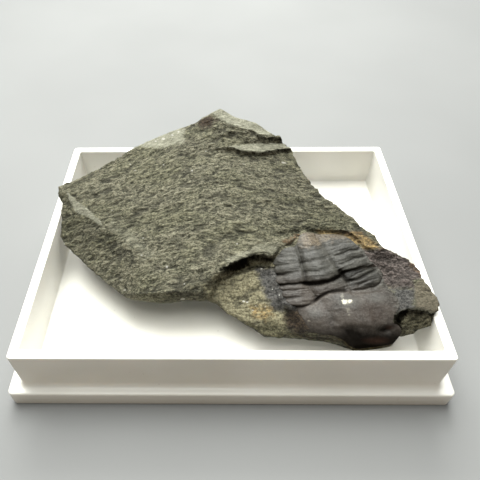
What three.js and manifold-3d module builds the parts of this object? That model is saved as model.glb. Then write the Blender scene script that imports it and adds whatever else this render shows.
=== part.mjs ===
import * as THREE from 'three';
import Module from 'manifold-3d';

const wasm = await Module();
wasm.setup();

// Display tray, mm. Its own frame has z = 0 at the top of the rim and its centre at x = y = 0.
const RIM_LENGTH = 70;
const RIM_DEPTH = 53.5;
const WALL = 1.6;
const FLANGE_LENGTH = 74.4;
const FLANGE_DEPTH = 57;
const FLANGE_HEIGHT = 3.6;
const TRAY_HEIGHT = 12.5;
const FLOOR_THICKNESS = 1.6;
const SKIRT_WALL = 2;
const RIM_CORNER = 0.6;
const FLANGE_CORNER = 0.9;
const INNER_CORNER = 0.3;
const CORNER_STEPS = 3;
const FLANGE_CHAMFER = 0.4;
const RIM_CHAMFER = 0.2;
const ROOT_FILLET = 0.9;

// Shale slab. In the tray's frame its main face is z = FACE_HEIGHT + FACE_SLOPE_X x + FACE_SLOPE_Y y.
const FACE_SLOPE_X = 0.044;
const FACE_SLOPE_Y = 0.175;
const FACE_HEIGHT = 3.41;
const REST_GAP = 0.3;
const POCKET_GAP = 0.3;
const FACE_STEP = 1.25;
const FACE_JITTER = 0.5;
const UNDERSIDE_STEP = 3;
const OUTLINE_STEP = 2.2;
const SLAB_CENTRE = [2, -3];
const DEEPEST = -6.1;

// Trilobite, heights measured from the main face of the slab.
const RELIEF_STEP_ACROSS = 0.8;
const RELIEF_STEP_ALONG = 0.32;
const RELIEF_JITTER = 0.15;
const MARGIN_SOFTNESS = 0.22;
const BASE_REAR = -2.7;
const BASE_FRONT = -4.7;
const REAR_V = -3;
const FRONT_V = -24;

// Shapes on the slab are traced as they look from this point above the front edge, in the slab's own
// frame: u across, v up the face, w out of it. A traced point that is w above the face moves towards the eye.
const EYE = [0.96, -50.75, 73.64];

const normal = new THREE.Vector3(-FACE_SLOPE_X, -FACE_SLOPE_Y, 1).normalize();
const across = new THREE.Vector3(1, 0, FACE_SLOPE_X).normalize();
const along = new THREE.Vector3().crossVectors(normal, across);
const faceToTray = new THREE.Matrix4().makeBasis(across, along, normal).setPosition(0, 0, FACE_HEIGHT);

// Traced outline of the slab: u, v, height w of the edge, and how far the side leans out per mm downwards.
const SLAB_OUTLINE = [
  [-34, 9.2, -0.4, -0.15], [-31, 11, -0.2, -0.2], [-27.5, 13, -0.2, -0.2], [-24.5, 15.5, 0, -0.15],
  [-20, 19, -0.4, -0.05], [-16, 21.5, -1, 0.1], [-12, 24, -1, 0.22], [-8.5, 25.5, -0.2, 0.2],
  [-6.5, 27, 0.4, 0.1], [-3, 29.2, 1.4, 0.05], [-1.2, 30, 1.8, 0.05], [1, 28, 2, 0.05],
  [3.2, 26.5, 2, 0], [6.5, 24.8, 1.8, -0.05], [8.3, 22.8, 1.6, -0.1], [9.9, 21.1, 1.4, -0.15],
  [11.2, 20.5, 1.2, -0.15], [11.8, 19.5, 1, -0.2], [13.5, 17, 0.5, -0.2], [13.6, 15, 0, -0.25],
  [14.6, 11.8, -0.2, -0.25], [16.5, 7.5, -0.3, -0.25], [18.5, 4.3, -0.3, -0.25], [21.2, 1.5, -0.4, -0.3],
  [23.7, -1.8, -0.5, -0.3], [26.2, -4.9, -0.7, -0.3], [27.2, -7.6, -0.9, -0.3], [29.9, -8.7, -0.8, -0.3],
  [31.3, -9.6, -0.8, -0.25], [32.5, -11.3, -0.6, -0.2], [33, -13.3, -0.5, -0.15], [33.7, -15, -0.4, -0.1],
  [33.9, -17.6, -0.4, -0.15], [33.6, -19.1, -0.6, -0.2], [32.4, -20.5, -1.6, -0.3],
  [31.8, -21.7, -2.3, -0.35], [30, -22.1, -2.8, -0.4], [29.2, -22.8, -3.1, -0.4], [27, -22.4, -3.5, -0.45],
  [25.8, -24, -3.6, -0.4],
  [22.5, -24.7, -3.4, -0.35], [20, -25.1, -3.4, -0.35], [18, -24.4, -3.6, -0.3], [15, -23.7, -4, -0.3],
  [11, -23.2, -4.2, -0.3], [5.5, -22.8, -4.2, -0.3], [3, -21, -4, -0.35], [0, -19.2, -3.6, -0.4],
  [-2.5, -17, -3.4, -0.5], [-4, -16.5, -3.2, -0.6], [-8, -16.2, -3, -0.6], [-13, -16.5, -3, -0.6],
  [-17, -15.8, -3, -0.6], [-19, -14.5, -3, -0.55], [-24, -10.5, -3.2, -0.5], [-27, -7.5, -3.3, -0.45],
  [-30, -4.8, -3.3, -0.4], [-31.3, -2.5, -2.8, -0.4], [-31.8, 1, -2.3, -0.4], [-32.3, 5, -1.8, -0.3],
  [-33.3, 7, -1.2, -0.2],
];

// Line where the main face ends. In front of it lie the terrace, the trilobite and the wrinkled corner.
const LIP = [
  [-6, -18], [-5, -14.6], [-3.5, -12.5], [-2.5, -11.3], [0, -9.9], [2, -8.7], [4, -7.6], [6, -7.5],
  [7.2, -8.2], [8.2, -7.9], [9.1, -6.6], [10.3, -5.6], [11.6, -4.6], [12.6, -3.6], [13.4, -2.9], [15, -2.8],
  [17, -3.1], [19, -3.2], [21.4, -3.4], [22.8, -4.6], [24, -6.3], [27.5, -7.1], [32, -7.4],
];

// Edge of the broken corner on the right.
const BROKEN_EDGE = [
  [35, -20.1], [33.2, -19.8], [31.2, -19], [29.2, -18.6], [27.6, -19], [26.6, -19.9], [26.2, -20.8],
  [26, -24],
];

// Edges on the main face: the bevels at its left and front, the pale facet at the upper left, the ledge below
// the peak, and the strip at the peak with the foot of the stair that climbs to it.
const LEFT_BEVEL = [[-35, 10.2], [-24, 0.4], [-14, -8.6]];
const FRONT_BEVEL = [[-13, -15.6], [-8.6, -13.9], [-5.8, -12.7], [-3, -11.8], [-1, -12]];
const FACET_EDGE = [[-6, 25.5], [-10, 18.6], [-24, 18.4]];
const LEDGE_EDGE = [[-3, 17.6], [1.1, 17.1], [3.3, 16], [6.3, 15.6], [10, 16], [14, 16.2]];
const STRIP_EDGE = [
  [-6, 27], [-3.4, 25.2], [0.1, 23], [3.5, 21.1], [6, 20.3], [6.6, 18.9], [9, 18.7], [13, 18.4],
];
const STAIR_FOOT = 18.1;

// Heights of the ground in front of the lip: u, v, w.
const TERRACE_LEVELS = [
  [-2, -13.5, -2.5], [0, -11, -2.3], [0, -15.5, -3], [4, -9.5, -2.3], [6.5, -9.5, -2.1], [5, -14, -2.5],
  [6.5, -13, -2], [7, -16, -2.2], [4, -18, -3.2], [8, -18, -2.7], [10, -20, -3.2], [13, -21, -3.4],
  [17, -22, -3.6], [6, -21, -4], [8.5, -8, -1.4], [12, -5.5, -0.9], [15, -4.5, -0.7], [20, -5, -0.8],
  [24, -7.5, -1], [25.5, -9, -1.1], [27, -8.5, -0.9], [30, -10.5, -0.9], [27.5, -12, -1.2], [31, -13, -0.7],
  [28.5, -15, -0.9], [32.5, -15, -0.4], [33.5, -17.5, -0.3], [31, -17.5, -0.4], [29, -17.5, -0.8],
];

// Traced outline of the trilobite, from the rear of its axis round by its right side.
const TRILOBITE_OUTLINE = [
  [12.3, -5], [12.7, -4], [13.3, -3.5], [14.2, -3.2], [15.3, -3.5], [17.6, -3.8], [19.2, -3.9],
  [20.6, -4.2], [21.6, -5], [22.9, -6.7], [23.6, -7.5], [24, -8.4], [24.3, -9.5], [25, -10.4],
  [25.7, -11.4], [26.1, -12.5], [26, -13.6], [26.3, -14.6], [27, -15.8], [27.6, -17], [27.6, -18.3],
  [26.5, -19.5], [26.2, -20.3], [26.1, -21], [26.8, -21.7], [27, -22.5], [26.5, -23.3], [25.2, -24.5],
  [23.8, -24.8], [22, -25], [20.6, -25.2], [19.4, -25.2], [18.6, -24.6], [17, -23.3], [15.8, -22.9],
  [14.3, -22.6], [13.2, -22.2], [12.5, -21.5], [12, -20.6], [11.6, -19.7], [11.1, -18.9], [10.9, -18],
  [10.1, -17.4], [9.3, -16.8], [8.7, -15.7], [8.9, -14.9], [8.3, -14.3], [7.8, -12.9], [8.1, -11.8],
  [7.7, -11], [8, -10], [7.6, -9.4], [8.2, -8.4], [9.2, -7.1], [9.8, -6.5], [10.8, -6.2], [11.7, -6.1],
];

// Furrows beside the axis of the thorax, traced from rear to head: v, then u of the left and right furrow.
const FURROWS = [
  [-3.2, 12.2, 15.2], [-5.8, 12.1, 16.6], [-7.2, 12.3, 17.3], [-8.9, 12.4, 17.9], [-10.4, 12.6, 18.5],
  [-12.2, 12.8, 19.2], [-13.2, 13, 19.7], [-14.2, 13.3, 20.1], [-15.4, 13.9, 20.3], [-16.4, 14.4, 20.4],
];

// Behind this line the thorax stands higher than its two front segments.
const STEP_LINE = [
  [6.5, -13.9], [8.3, -13.8], [12.7, -13.5], [15, -13.5], [17, -13.1], [18.2, -12.5], [18.9, -11.8],
  [20, -11.4], [21.5, -11], [23, -10.5], [25, -10.1], [28, -9.5],
];

// Line where the head shield begins.
const HEAD_MARGIN = [
  [8, -18.5], [10.4, -17.8], [12, -17.8], [13.2, -17.4], [14.4, -16.8], [14.9, -16.2], [15.5, -15.9],
  [16.3, -15.5], [17.2, -15.3], [18.5, -15.2], [19.8, -15.3], [20.3, -15.8], [23.2, -15.6], [25.8, -15.2],
  [28, -14.9],
];

// Grooves between the segments and beside the axis, traced from left to right or from rear to head: depth at
// either end, half-width, height of the crest beside the groove as a share of its depth, positive behind it
// and negative in front, and the line.
const GROOVES = [
  [0.34, 0.03, 0.22, -0.5, [[7.2, -10.1], [8.8, -10], [10.2, -9.8], [12.3, -9.6]]],
  [0.62, 0.05, 0.25, -0.5, [[7.3, -11.9], [9, -11.8], [10.5, -11.6], [12.7, -11.2]]],
  [0.62, 0.36, 0.22, 0.2, [[7.4, -13.9], [8.3, -13.8], [10.5, -13.7], [13.2, -13.6]]],
  [0.26, 0.14, 0.2, -0.6, [[8.3, -14.8], [11, -14.9], [13.4, -14.6]]],
  [0.42, 0.05, 0.2, -0.4, [[8.2, -16.4], [10, -16.3], [11.6, -16.2], [13.4, -16.2]]],
  [0.4, 0.3, 0.2, 0.3, [[9.8, -17.6], [10.8, -17.8], [12, -17.8], [13.2, -17.4], [14.6, -16.7]]],
  [0.1, 0.1, 0.3, -0.5, [[12.4, -7.7], [14.5, -7.4], [17, -6.9]]],
  [0.27, 0.18, 0.34, -0.5, [[12.2, -9.6], [14, -9.4], [15.5, -9], [17.6, -8.8]]],
  [0.28, 0.22, 0.36, -0.5, [[12.5, -11.4], [14.3, -11.4], [16, -11.1], [18, -10.4]]],
  [1, 0.9, 0.4, 0.25, [[12.3, -13.6], [15, -13.6], [16.5, -13.3], [17.8, -12.9], [19.3, -12.1]]],
  [0.6, 0.5, 0.22, 0.3, [[13.9, -17], [14.9, -16.2], [15.5, -15.9], [16.3, -15.5], [17, -15.3], [20, -15.3]]],
  [0.2, 0.2, 0.22, 0, [[11.8, -5.7], [12.2, -7.2], [12.4, -8.8], [12.6, -10.2], [12.8, -11.8], [13, -13.6]]],
  [0.2, 0.2, 0.22, 0, [[13.2, -14.3], [13.7, -15.3], [14.3, -16.4]]],
  [0.24, 0.24, 0.4, 0, [[15.3, -3.6], [16.5, -5.7], [17.3, -7.3], [17.9, -8.9], [18.5, -10.5], [19, -11.9]]],
  [0.5, 0.4, 0.34, 0, [[18.7, -11.1], [19.2, -12.2], [19.7, -13.2], [20, -13.9]]],
  [0.18, 0.18, 0.25, 0, [[19.9, -13.6], [20.2, -14.6], [20.3, -15.6]]],
  [0.1, 0.16, 0.24, -0.5, [[16.7, -6.3], [18.3, -6.4], [20, -6.1]]],
  [0.14, 0.42, 0.22, -0.5, [[18.2, -8.3], [19.2, -8.3], [20, -8], [21, -7.4], [23.2, -7.1]]],
  [0.16, 0.46, 0.22, -0.5, [[18.6, -10.1], [19.6, -10], [20.8, -9.5], [21.7, -9], [24, -8.6]]],
  [0.75, 0.2, 0.24, 0.3, [[18.8, -11.9], [20, -11.5], [21.5, -11.1], [22.7, -10.7], [24.6, -10.1]]],
  [0.5, 0.34, 0.22, -0.4, [[19.9, -13.4], [21.5, -13.1], [22.8, -12.5], [24, -11.8], [25.6, -11]]],
  [0.2, 0.16, 0.2, -0.4, [[21.3, -14.3], [23.2, -13.5], [25.3, -12.8]]],
  [0.3, 0.36, 0.2, 0.3, [[20.4, -15.1], [22.2, -15], [24, -14.6], [25.2, -13.9], [26, -12.7], [26, -11.7]]],
  [0.14, 0.14, 0.45, 0, [[14.9, -16.7], [15.5, -18.3], [16.5, -20.3], [17.8, -21.6]]],
  [0.1, 0.1, 0.5, 0, [[21, -16], [23, -18.3], [24, -20.3], [24.3, -22.1]]],
];

// Hollows and lobes of the head shield, traced: u, v, half-widths in u and v, height.
const LOBES = [
  [24.3, -22.25, 1.3, 0.68, -0.9], [18.6, -23, 0.7, 1.1, -0.35], [26, -22.4, 0.8, 0.9, 0.25],
  [20.6, -22.6, 1.3, 0.8, 0.2], [22.6, -21.8, 0.5, 1.6, 0.22], [13.6, -19.8, 1.6, 1.6, 0.18],
  [17.5, -16.8, 1.6, 0.8, 0.12], [22.5, -17.4, 2.4, 1.2, 0.12],
];

// Swelling of the last pleura on the right: centre, half-widths, height.
const LEAF = [23.2, -13.3, 2.2, 0.8, 0.3];

function clamp(value, low, high) {
  return Math.min(high, Math.max(low, value));
}

function smoothstep(low, high, value) {
  const t = clamp((value - low) / (high - low), 0, 1);
  return t * t * (3 - 2 * t);
}

function lerp(a, b, t) {
  return a + (b - a) * t;
}

function random(i, j) {
  const wave = Math.sin(i * 127.1 + j * 311.7) * 43758.5453;
  return wave - Math.floor(wave);
}

// Smooth noise between -1 and 1.
function noise(x, y) {
  const i = Math.floor(x);
  const j = Math.floor(y);
  const s = smoothstep(0, 1, x - i);
  const t = smoothstep(0, 1, y - j);
  const low = lerp(random(i, j), random(i + 1, j), s);
  const high = lerp(random(i, j + 1), random(i + 1, j + 1), s);
  return 2 * lerp(low, high, t) - 1;
}

// True position in the slab's frame of a traced point that stands w above the face.
function place(u, v, w) {
  const share = w / EYE[2];
  return [lerp(u, EYE[0], share), lerp(v, EYE[1], share), w];
}

// Distance from a point to a polyline, and the side: negative to the right of its direction.
function signedDistance(u, v, line) {
  let best = Infinity;
  let side = 1;
  for (let i = 0; i + 1 < line.length; i++) {
    const [au, av] = line[i];
    const du = line[i + 1][0] - au;
    const dv = line[i + 1][1] - av;
    const t = clamp(((u - au) * du + (v - av) * dv) / (du * du + dv * dv), 0, 1);
    const distance = Math.hypot(u - au - t * du, v - av - t * dv);
    if (distance < best) {
      best = distance;
      side = Math.sign(du * (v - av) - dv * (u - au)) || 1;
    }
  }
  return best * side;
}

// Straight-line lookup in rows that run down v: returns the columns after the first.
function columnsAt(rows, v) {
  for (let i = 0; i + 1 < rows.length; i++) {
    if (v >= rows[i + 1][0] || i + 2 === rows.length) {
      const t = clamp((rows[i][0] - v) / (rows[i][0] - rows[i + 1][0]), 0, 1);
      return rows[i].slice(1).map((value, column) => lerp(value, rows[i + 1][column + 1], t));
    }
  }
  return rows[0].slice(1);
}

// Value v at u of a line that runs from left to right.
function lineAt(line, u) {
  for (let i = 0; i + 1 < line.length; i++) {
    if (u <= line[i + 1][0] || i + 2 === line.length) {
      const t = clamp((u - line[i][0]) / (line[i + 1][0] - line[i][0]), 0, 1);
      return lerp(line[i][1], line[i + 1][1], t);
    }
  }
  return line[0][1];
}

// Closed solid from shared vertices and triangles.
function solidOf(vertices, triangles) {
  const mesh = new wasm.Mesh({
    numProp: 3,
    vertProperties: new Float32Array(vertices.flat()),
    triVerts: new Uint32Array(triangles.flat()),
  });
  return new wasm.Manifold(mesh);
}

function meshOf(solid, name, color, roughness) {
  const { numProp, vertProperties, triVerts } = solid.getMesh();
  const geometry = new THREE.BufferGeometry();
  const positions = new Float32Array((vertProperties.length / numProp) * 3);
  for (let i = 0; i < positions.length / 3; i++) {
    for (let k = 0; k < 3; k++) positions[3 * i + k] = vertProperties[numProp * i + k];
  }
  geometry.setAttribute('position', new THREE.BufferAttribute(positions, 3));
  geometry.setIndex(new THREE.BufferAttribute(new Uint32Array(triVerts), 1));
  const mesh = new THREE.Mesh(geometry, new THREE.MeshStandardMaterial({ color, roughness, metalness: 0 }));
  mesh.name = name;
  return mesh;
}

// Closed loft through rings of equal length, the first one lowest, each running anticlockwise in plan.
function loft(rings) {
  const count = rings[0].length;
  const vertices = rings.flat();
  const triangles = [];
  for (let level = 0; level + 1 < rings.length; level++) {
    for (let i = 0; i < count; i++) {
      const a = level * count + i;
      const b = level * count + ((i + 1) % count);
      triangles.push([a, b, b + count], [a, b + count, a + count]);
    }
  }
  const cap = (ring) => THREE.ShapeUtils.triangulateShape(ring.map(([x, y]) => new THREE.Vector2(x, y)), []);
  const top = (rings.length - 1) * count;
  for (const [a, b, c] of cap(rings[0])) triangles.push([a, c, b]);
  for (const [a, b, c] of cap(rings[rings.length - 1])) triangles.push([top + a, top + b, top + c]);
  return solidOf(vertices, triangles);
}

// Block with one side of uneven facets, given by pointAt(x, y), and a flat far side below or above it.
function terrain([x0, y0, x1, y1], stepX, stepY, jitter, pointAt, farHeight) {
  const columns = Math.round((x1 - x0) / stepX);
  const rows = Math.round((y1 - y0) / stepY);
  const near = [];
  const far = [];
  for (let j = 0; j <= rows; j++) {
    for (let i = 0; i <= columns; i++) {
      const inside = i > 0 && j > 0 && i < columns && j < rows;
      const shift = inside ? jitter : 0;
      const x = x0 + ((x1 - x0) * i) / columns + shift * stepX * (random(i, j) - 0.5);
      const y = y0 + ((y1 - y0) * j) / rows + shift * stepY * (random(i + 61, j + 17) - 0.5);
      near.push(pointAt(x, y));
      far.push([x, y, farHeight]);
    }
  }
  const width = columns + 1;
  const faces = [];
  for (let j = 0; j < rows; j++) {
    for (let i = 0; i < columns; i++) {
      const a = j * width + i;
      const b = a + 1;
      const c = a + width;
      const d = c + 1;
      if (random(i + 5, j + 9) < 0.5) faces.push([a, b, d], [a, d, c]);
      else faces.push([a, b, c], [b, d, c]);
    }
  }
  const border = [];
  for (let i = 0; i < columns; i++) border.push(i);
  for (let j = 0; j < rows; j++) border.push(j * width + columns);
  for (let i = columns; i > 0; i--) border.push(rows * width + i);
  for (let j = rows; j > 0; j--) border.push(j * width);
  const offset = near.length;
  const triangles = faces.map(([a, b, c]) => [a, b, c]);
  for (const [a, b, c] of faces) triangles.push([offset + a, offset + c, offset + b]);
  for (let i = 0; i < border.length; i++) {
    const a = border[i];
    const b = border[(i + 1) % border.length];
    triangles.push([offset + a, offset + b, b], [offset + a, b, a]);
  }
  const nearIsUp = farHeight < near[0][2];
  return solidOf([...near, ...far], nearIsUp ? triangles : triangles.map(([a, b, c]) => [a, c, b]));
}

// Ring of a rectangle with rounded corners, anticlockwise, at height z.
function roundedRing(length, depth, radius, z) {
  const ring = [];
  const corners = [[1, 1, 0], [-1, 1, 90], [-1, -1, 180], [1, -1, 270]];
  for (const [sx, sy, start] of corners) {
    for (let k = 0; k <= CORNER_STEPS; k++) {
      const angle = THREE.MathUtils.degToRad(start + (90 * k) / CORNER_STEPS);
      const x = sx * (length / 2 - radius) + radius * Math.cos(angle);
      const y = sy * (depth / 2 - radius) + radius * Math.sin(angle);
      ring.push([x, y, z]);
    }
  }
  return ring;
}

// White tray: a low box on a wider flange, hollow on top, with a shallow recess underneath.
function displayTray() {
  const bottom = -TRAY_HEIGHT;
  const flangeTop = bottom + FLANGE_HEIGHT;
  const rimRing = (out, z) => roundedRing(RIM_LENGTH + 2 * out, RIM_DEPTH + 2 * out, RIM_CORNER, z);
  const flangeRing = (inset, z) => (
    roundedRing(FLANGE_LENGTH - 2 * inset, FLANGE_DEPTH - 2 * inset, FLANGE_CORNER, z)
  );
  const outside = loft([
    flangeRing(0, bottom),
    flangeRing(0, flangeTop - FLANGE_CHAMFER),
    flangeRing(FLANGE_CHAMFER, flangeTop),
    rimRing(ROOT_FILLET, flangeTop + 0.02),
    rimRing(0.3 * ROOT_FILLET, flangeTop + 0.3 * ROOT_FILLET),
    rimRing(0, flangeTop + ROOT_FILLET),
    rimRing(0, -RIM_CHAMFER),
    rimRing(-RIM_CHAMFER, 0),
  ]);
  const innerLength = RIM_LENGTH - 2 * WALL;
  const innerDepth = RIM_DEPTH - 2 * WALL;
  const inside = loft([
    roundedRing(innerLength, innerDepth, INNER_CORNER, flangeTop),
    roundedRing(innerLength, innerDepth, INNER_CORNER, 1),
  ]);
  const recessLength = FLANGE_LENGTH - 2 * SKIRT_WALL;
  const recessDepth = FLANGE_DEPTH - 2 * SKIRT_WALL;
  const recess = loft([
    roundedRing(recessLength, recessDepth, INNER_CORNER, bottom - 1),
    roundedRing(recessLength, recessDepth, INNER_CORNER, flangeTop - FLOOR_THICKNESS),
  ]);
  return outside.subtract(inside).subtract(recess);
}

// Weighted mean of scattered heights.
function heightFrom(levels, u, v) {
  let total = 0;
  let weights = 0;
  for (const [lu, lv, w] of levels) {
    const weight = 1 / ((u - lu) ** 2 + (v - lv) ** 2 + 0.3) ** 1.5;
    total += weight * w;
    weights += weight;
  }
  return total / weights;
}

// Shape of the main face: its bevels, the pale facet at the upper left, the ledge and the stair to the peak.
function mainFaceHeight(u, v) {
  const fade = 1 - smoothstep(-21, -12, u);
  let w = -0.42 * fade * Math.max(0, -signedDistance(u, v, LEFT_BEVEL));
  w -= 0.3 * Math.max(0, -signedDistance(u, v, FACET_EDGE));
  const front = Math.max(0, -signedDistance(u, v, FRONT_BEVEL));
  w -= 0.38 * front * smoothstep(-14, -10, u) * smoothstep(1, -1.5, u);
  w += 0.9 * smoothstep(-5, 1.5, u) * smoothstep(0, 0.3, signedDistance(u, v, LEDGE_EDGE));
  const top = lineAt(STRIP_EDGE, u);
  w += 1.25 * smoothstep(-8, -1, u) * clamp((v - STAIR_FOOT) / Math.max(0.3, top - STAIR_FOOT), 0, 1);
  return w + 0.22 * noise(u / 6 + 3, v / 4) + 0.14 * noise(u / 2.4, v / 1.6 + 7);
}

// How far the broken corner drops below the face, with the small hole beside the cephalon.
function cornerDrop(u, v) {
  const broken = Math.max(0, signedDistance(u, v, BROKEN_EDGE));
  const hole = 1.3 * Math.exp(-(((u - 27) / 0.8) ** 2) - ((v + 20.9) / 0.8) ** 2);
  return smoothstep(25.9, 26.5, u) * (0.6 * smoothstep(0, 0.3, broken) + 0.85 * broken + hole);
}

// Height of the whole upper side of the slab. The step at the lip softens towards either end.
function slabHeight(u, v) {
  const terrace = heightFrom(TERRACE_LEVELS, u, v) + 0.16 * noise(u / 2, v / 1.5 + 20);
  const softness = 0.4 + 1.8 * smoothstep(-1, -4, u) + 1.6 * smoothstep(23.5, 26, u);
  const inFront = smoothstep(-0.05, softness, -signedDistance(u, v, LIP));
  return lerp(mainFaceHeight(u, v), terrace, inFront) - cornerDrop(u, v);
}

// The slab's sides, as lines down from its outline with some broken facets.
function slabSides() {
  const points = SLAB_OUTLINE.map(([u, v, w]) => new THREE.Vector3(...place(u, v, w)));
  const outline = [];
  for (let i = 0; i < points.length; i++) {
    const next = (i + 1) % points.length;
    const steps = Math.max(1, Math.round(points[i].distanceTo(points[next]) / OUTLINE_STEP));
    for (let k = 0; k < steps; k++) {
      const p = points[i].clone().lerp(points[next], k / steps);
      const lean = lerp(SLAB_OUTLINE[i][3], SLAB_OUTLINE[next][3], k / steps);
      const rough = k > 0 ? 0.35 * (random(i, k) - 0.5) : 0;
      outline.push([p.x, p.y, p.z, lean, rough]);
    }
  }
  outline.reverse();
  const ringAt = (drop, roughness) => outline.map(([u, v, w, lean, rough], i) => {
    const du = u - SLAB_CENTRE[0];
    const dv = v - SLAB_CENTRE[1];
    const out = rough + lean * Math.max(0, drop) + roughness * (random(i, Math.round(drop * 10)) - 0.5);
    const scale = 1 + out / Math.hypot(du, dv);
    return [SLAB_CENTRE[0] + du * scale, SLAB_CENTRE[1] + dv * scale, w - drop];
  });
  const dropsAndRoughness = [[14, 0], [8, 0.6], [4.5, 0.7], [2, 0.6], [0.3, 0], [-7, 0]];
  return loft(dropsAndRoughness.map(([drop, roughness]) => ringAt(drop, roughness)));
}

// Underside, in the tray's frame: it lies on the rims at the back and both tips, and is deeper between them.
function undersideHeight(x, y) {
  const innerX = RIM_LENGTH / 2 - WALL - REST_GAP;
  const innerY = RIM_DEPTH / 2 - WALL - REST_GAP;
  const back = REST_GAP - 0.45 * Math.max(0, innerY - 1 - y);
  const left = REST_GAP - 1.1 * Math.max(0, x + innerX);
  const right = REST_GAP - 2.5 * Math.max(0, innerX - 0.3 - x);
  const deep = DEEPEST + 0.8 * smoothstep(6, -14, x) + 0.25 * noise(x / 5, y / 4);
  return Math.max(back, left, right, deep);
}

// Distance behind a polyline, as a signed distance, and the nearest point's share of its length.
function alongLine(u, v, line) {
  const lengths = line.slice(1).map(([bu, bv], i) => Math.hypot(bu - line[i][0], bv - line[i][1]));
  const total = lengths.reduce((sum, length) => sum + length, 0);
  let best = Infinity;
  let share = 0;
  let before = 0;
  for (let i = 0; i + 1 < line.length; i++) {
    const [au, av] = line[i];
    const du = line[i + 1][0] - au;
    const dv = line[i + 1][1] - av;
    const t = clamp(((u - au) * du + (v - av) * dv) / (du * du + dv * dv), 0, 1);
    const distance = Math.hypot(u - au - t * du, v - av - t * dv);
    if (distance < best) {
      best = distance;
      share = (before + t * lengths[i]) / total;
    }
    before += lengths[i];
  }
  return [signedDistance(u, v, line), share];
}

// Grooves that fade out at both ends, each with a low crest beside it.
function groovesHeight(u, v) {
  let height = 0;
  for (const [start, end, width, crest, line] of GROOVES) {
    const [behind, share] = alongLine(u, v, line);
    const depth = lerp(start, end, share) * smoothstep(-0.04, 0.1, share) * smoothstep(1.02, 0.84, share);
    const core = Math.exp(-((behind / width) ** 2));
    const shoulder = Math.exp(-((behind / ((behind > 0 ? 3.2 : 1.7) * width)) ** 2));
    const reach = (behind - Math.sign(crest) * 1.9 * width) / (1.3 * width);
    height += depth * (0.32 * Math.abs(crest) * Math.exp(-(reach ** 2)) - 0.5 * core - 0.5 * shoulder);
  }
  return height;
}

// Thorax: a raised axis between two furrows, with pleurae that bend down at their tips.
function thoraxHeight(u, v) {
  const [left, right] = columnsAt(FURROWS, v);
  const behind = signedDistance(u, v, STEP_LINE);
  const drop = (0.3 + 0.4 * smoothstep(11.5, 13.5, u)) * smoothstep(0.1, -0.45, behind);
  const level = -0.3 + 0.3 * smoothstep(-3, -7, v) - drop;
  if (u < left) return level - 0.22 - 1.05 * clamp((left - u) / (left - 7.7), 0, 1) ** 2.3;
  if (u > right) return level - 0.22 - 0.55 * clamp((u - right) / (25.5 - right), 0, 1.2) ** 2;
  const t = 2 * ((u - left) / (right - left)) - 1;
  const arch = t < 0 ? 1 - (-t) ** 2.3 : 0.5 + 0.5 * Math.cos(Math.PI * t);
  return level - 0.22 + 0.62 * arch * Math.min(1, (right - left) / 5.4);
}

function lobe(u, v, [centreU, centreV, halfWidthU, halfWidthV, height]) {
  return height * Math.exp(-(((u - centreU) / halfWidthU) ** 2) - ((v - centreV) / halfWidthV) ** 2);
}

// Cephalon: a smooth shield with a low median lobe, steep in front, with hollows beside the lobe's tip.
function cephalonHeight(u, v) {
  const sideways = (u - 20) / 8.5;
  let w = 0.12 - (sideways < 0 ? 1.5 * (-sideways) ** 2.2 : 0.95 * sideways ** 2.4);
  w -= 0.058 * Math.max(0, -17.8 - v) ** 1.9;
  w -= 0.1 * Math.max(0, v + 16.4) ** 1.5;
  const ridge = signedDistance(u, v, [[17.8, -14], [19.6, -17.5], [22.6, -22.4]]);
  w += 0.42 * Math.exp(-((ridge / 2.3) ** 2)) * smoothstep(-24.2, -21.8, v);
  const brow = signedDistance(u, v, [[14, -21.8], [17, -21.5], [19, -21.2], [22, -21.4], [24, -21.7]]);
  w -= 0.4 * smoothstep(0.15, -0.5, brow) * smoothstep(16, 18, u) * smoothstep(23, 22, u);
  return LOBES.reduce((height, shape) => height + lobe(u, v, shape), w);
}

function trilobiteHeight(u, v) {
  const intoHead = -signedDistance(u, v, HEAD_MARGIN);
  const headShare = smoothstep(-MARGIN_SOFTNESS, MARGIN_SOFTNESS, intoHead);
  const leaf = lobe(u, v, LEAF);
  return lerp(thoraxHeight(u, v) + leaf, cephalonHeight(u, v), headShare) + groovesHeight(u, v);
}

// Upright walls round the trilobite's outline, grown outwards by a margin, from its tilted base upwards.
function trilobiteWalls(margin, lower) {
  const points = TRILOBITE_OUTLINE.map(([u, v]) => place(u, v, trilobiteHeight(u, v))).reverse();
  const count = points.length;
  const grown = points.map(([u, v], i) => {
    const before = points[(i + count - 1) % count];
    const after = points[(i + 1) % count];
    const length = Math.hypot(after[0] - before[0], after[1] - before[1]);
    return [u + (margin * (after[1] - before[1])) / length, v - (margin * (after[0] - before[0])) / length];
  });
  const base = (v) => lerp(BASE_REAR, BASE_FRONT, (REAR_V - v) / (REAR_V - FRONT_V));
  return loft([grown.map(([u, v]) => [u, v, base(v) - lower]), grown.map(([u, v]) => [u, v, 6])]);
}

function trilobite() {
  const area = [5, -27, 31, 0];
  const surface = (u, v) => place(u, v, trilobiteHeight(u, v));
  const relief = terrain(area, RELIEF_STEP_ACROSS, RELIEF_STEP_ALONG, RELIEF_JITTER, surface, -12);
  return relief.intersect(trilobiteWalls(0, 0)).transform(faceToTray.elements);
}

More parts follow.
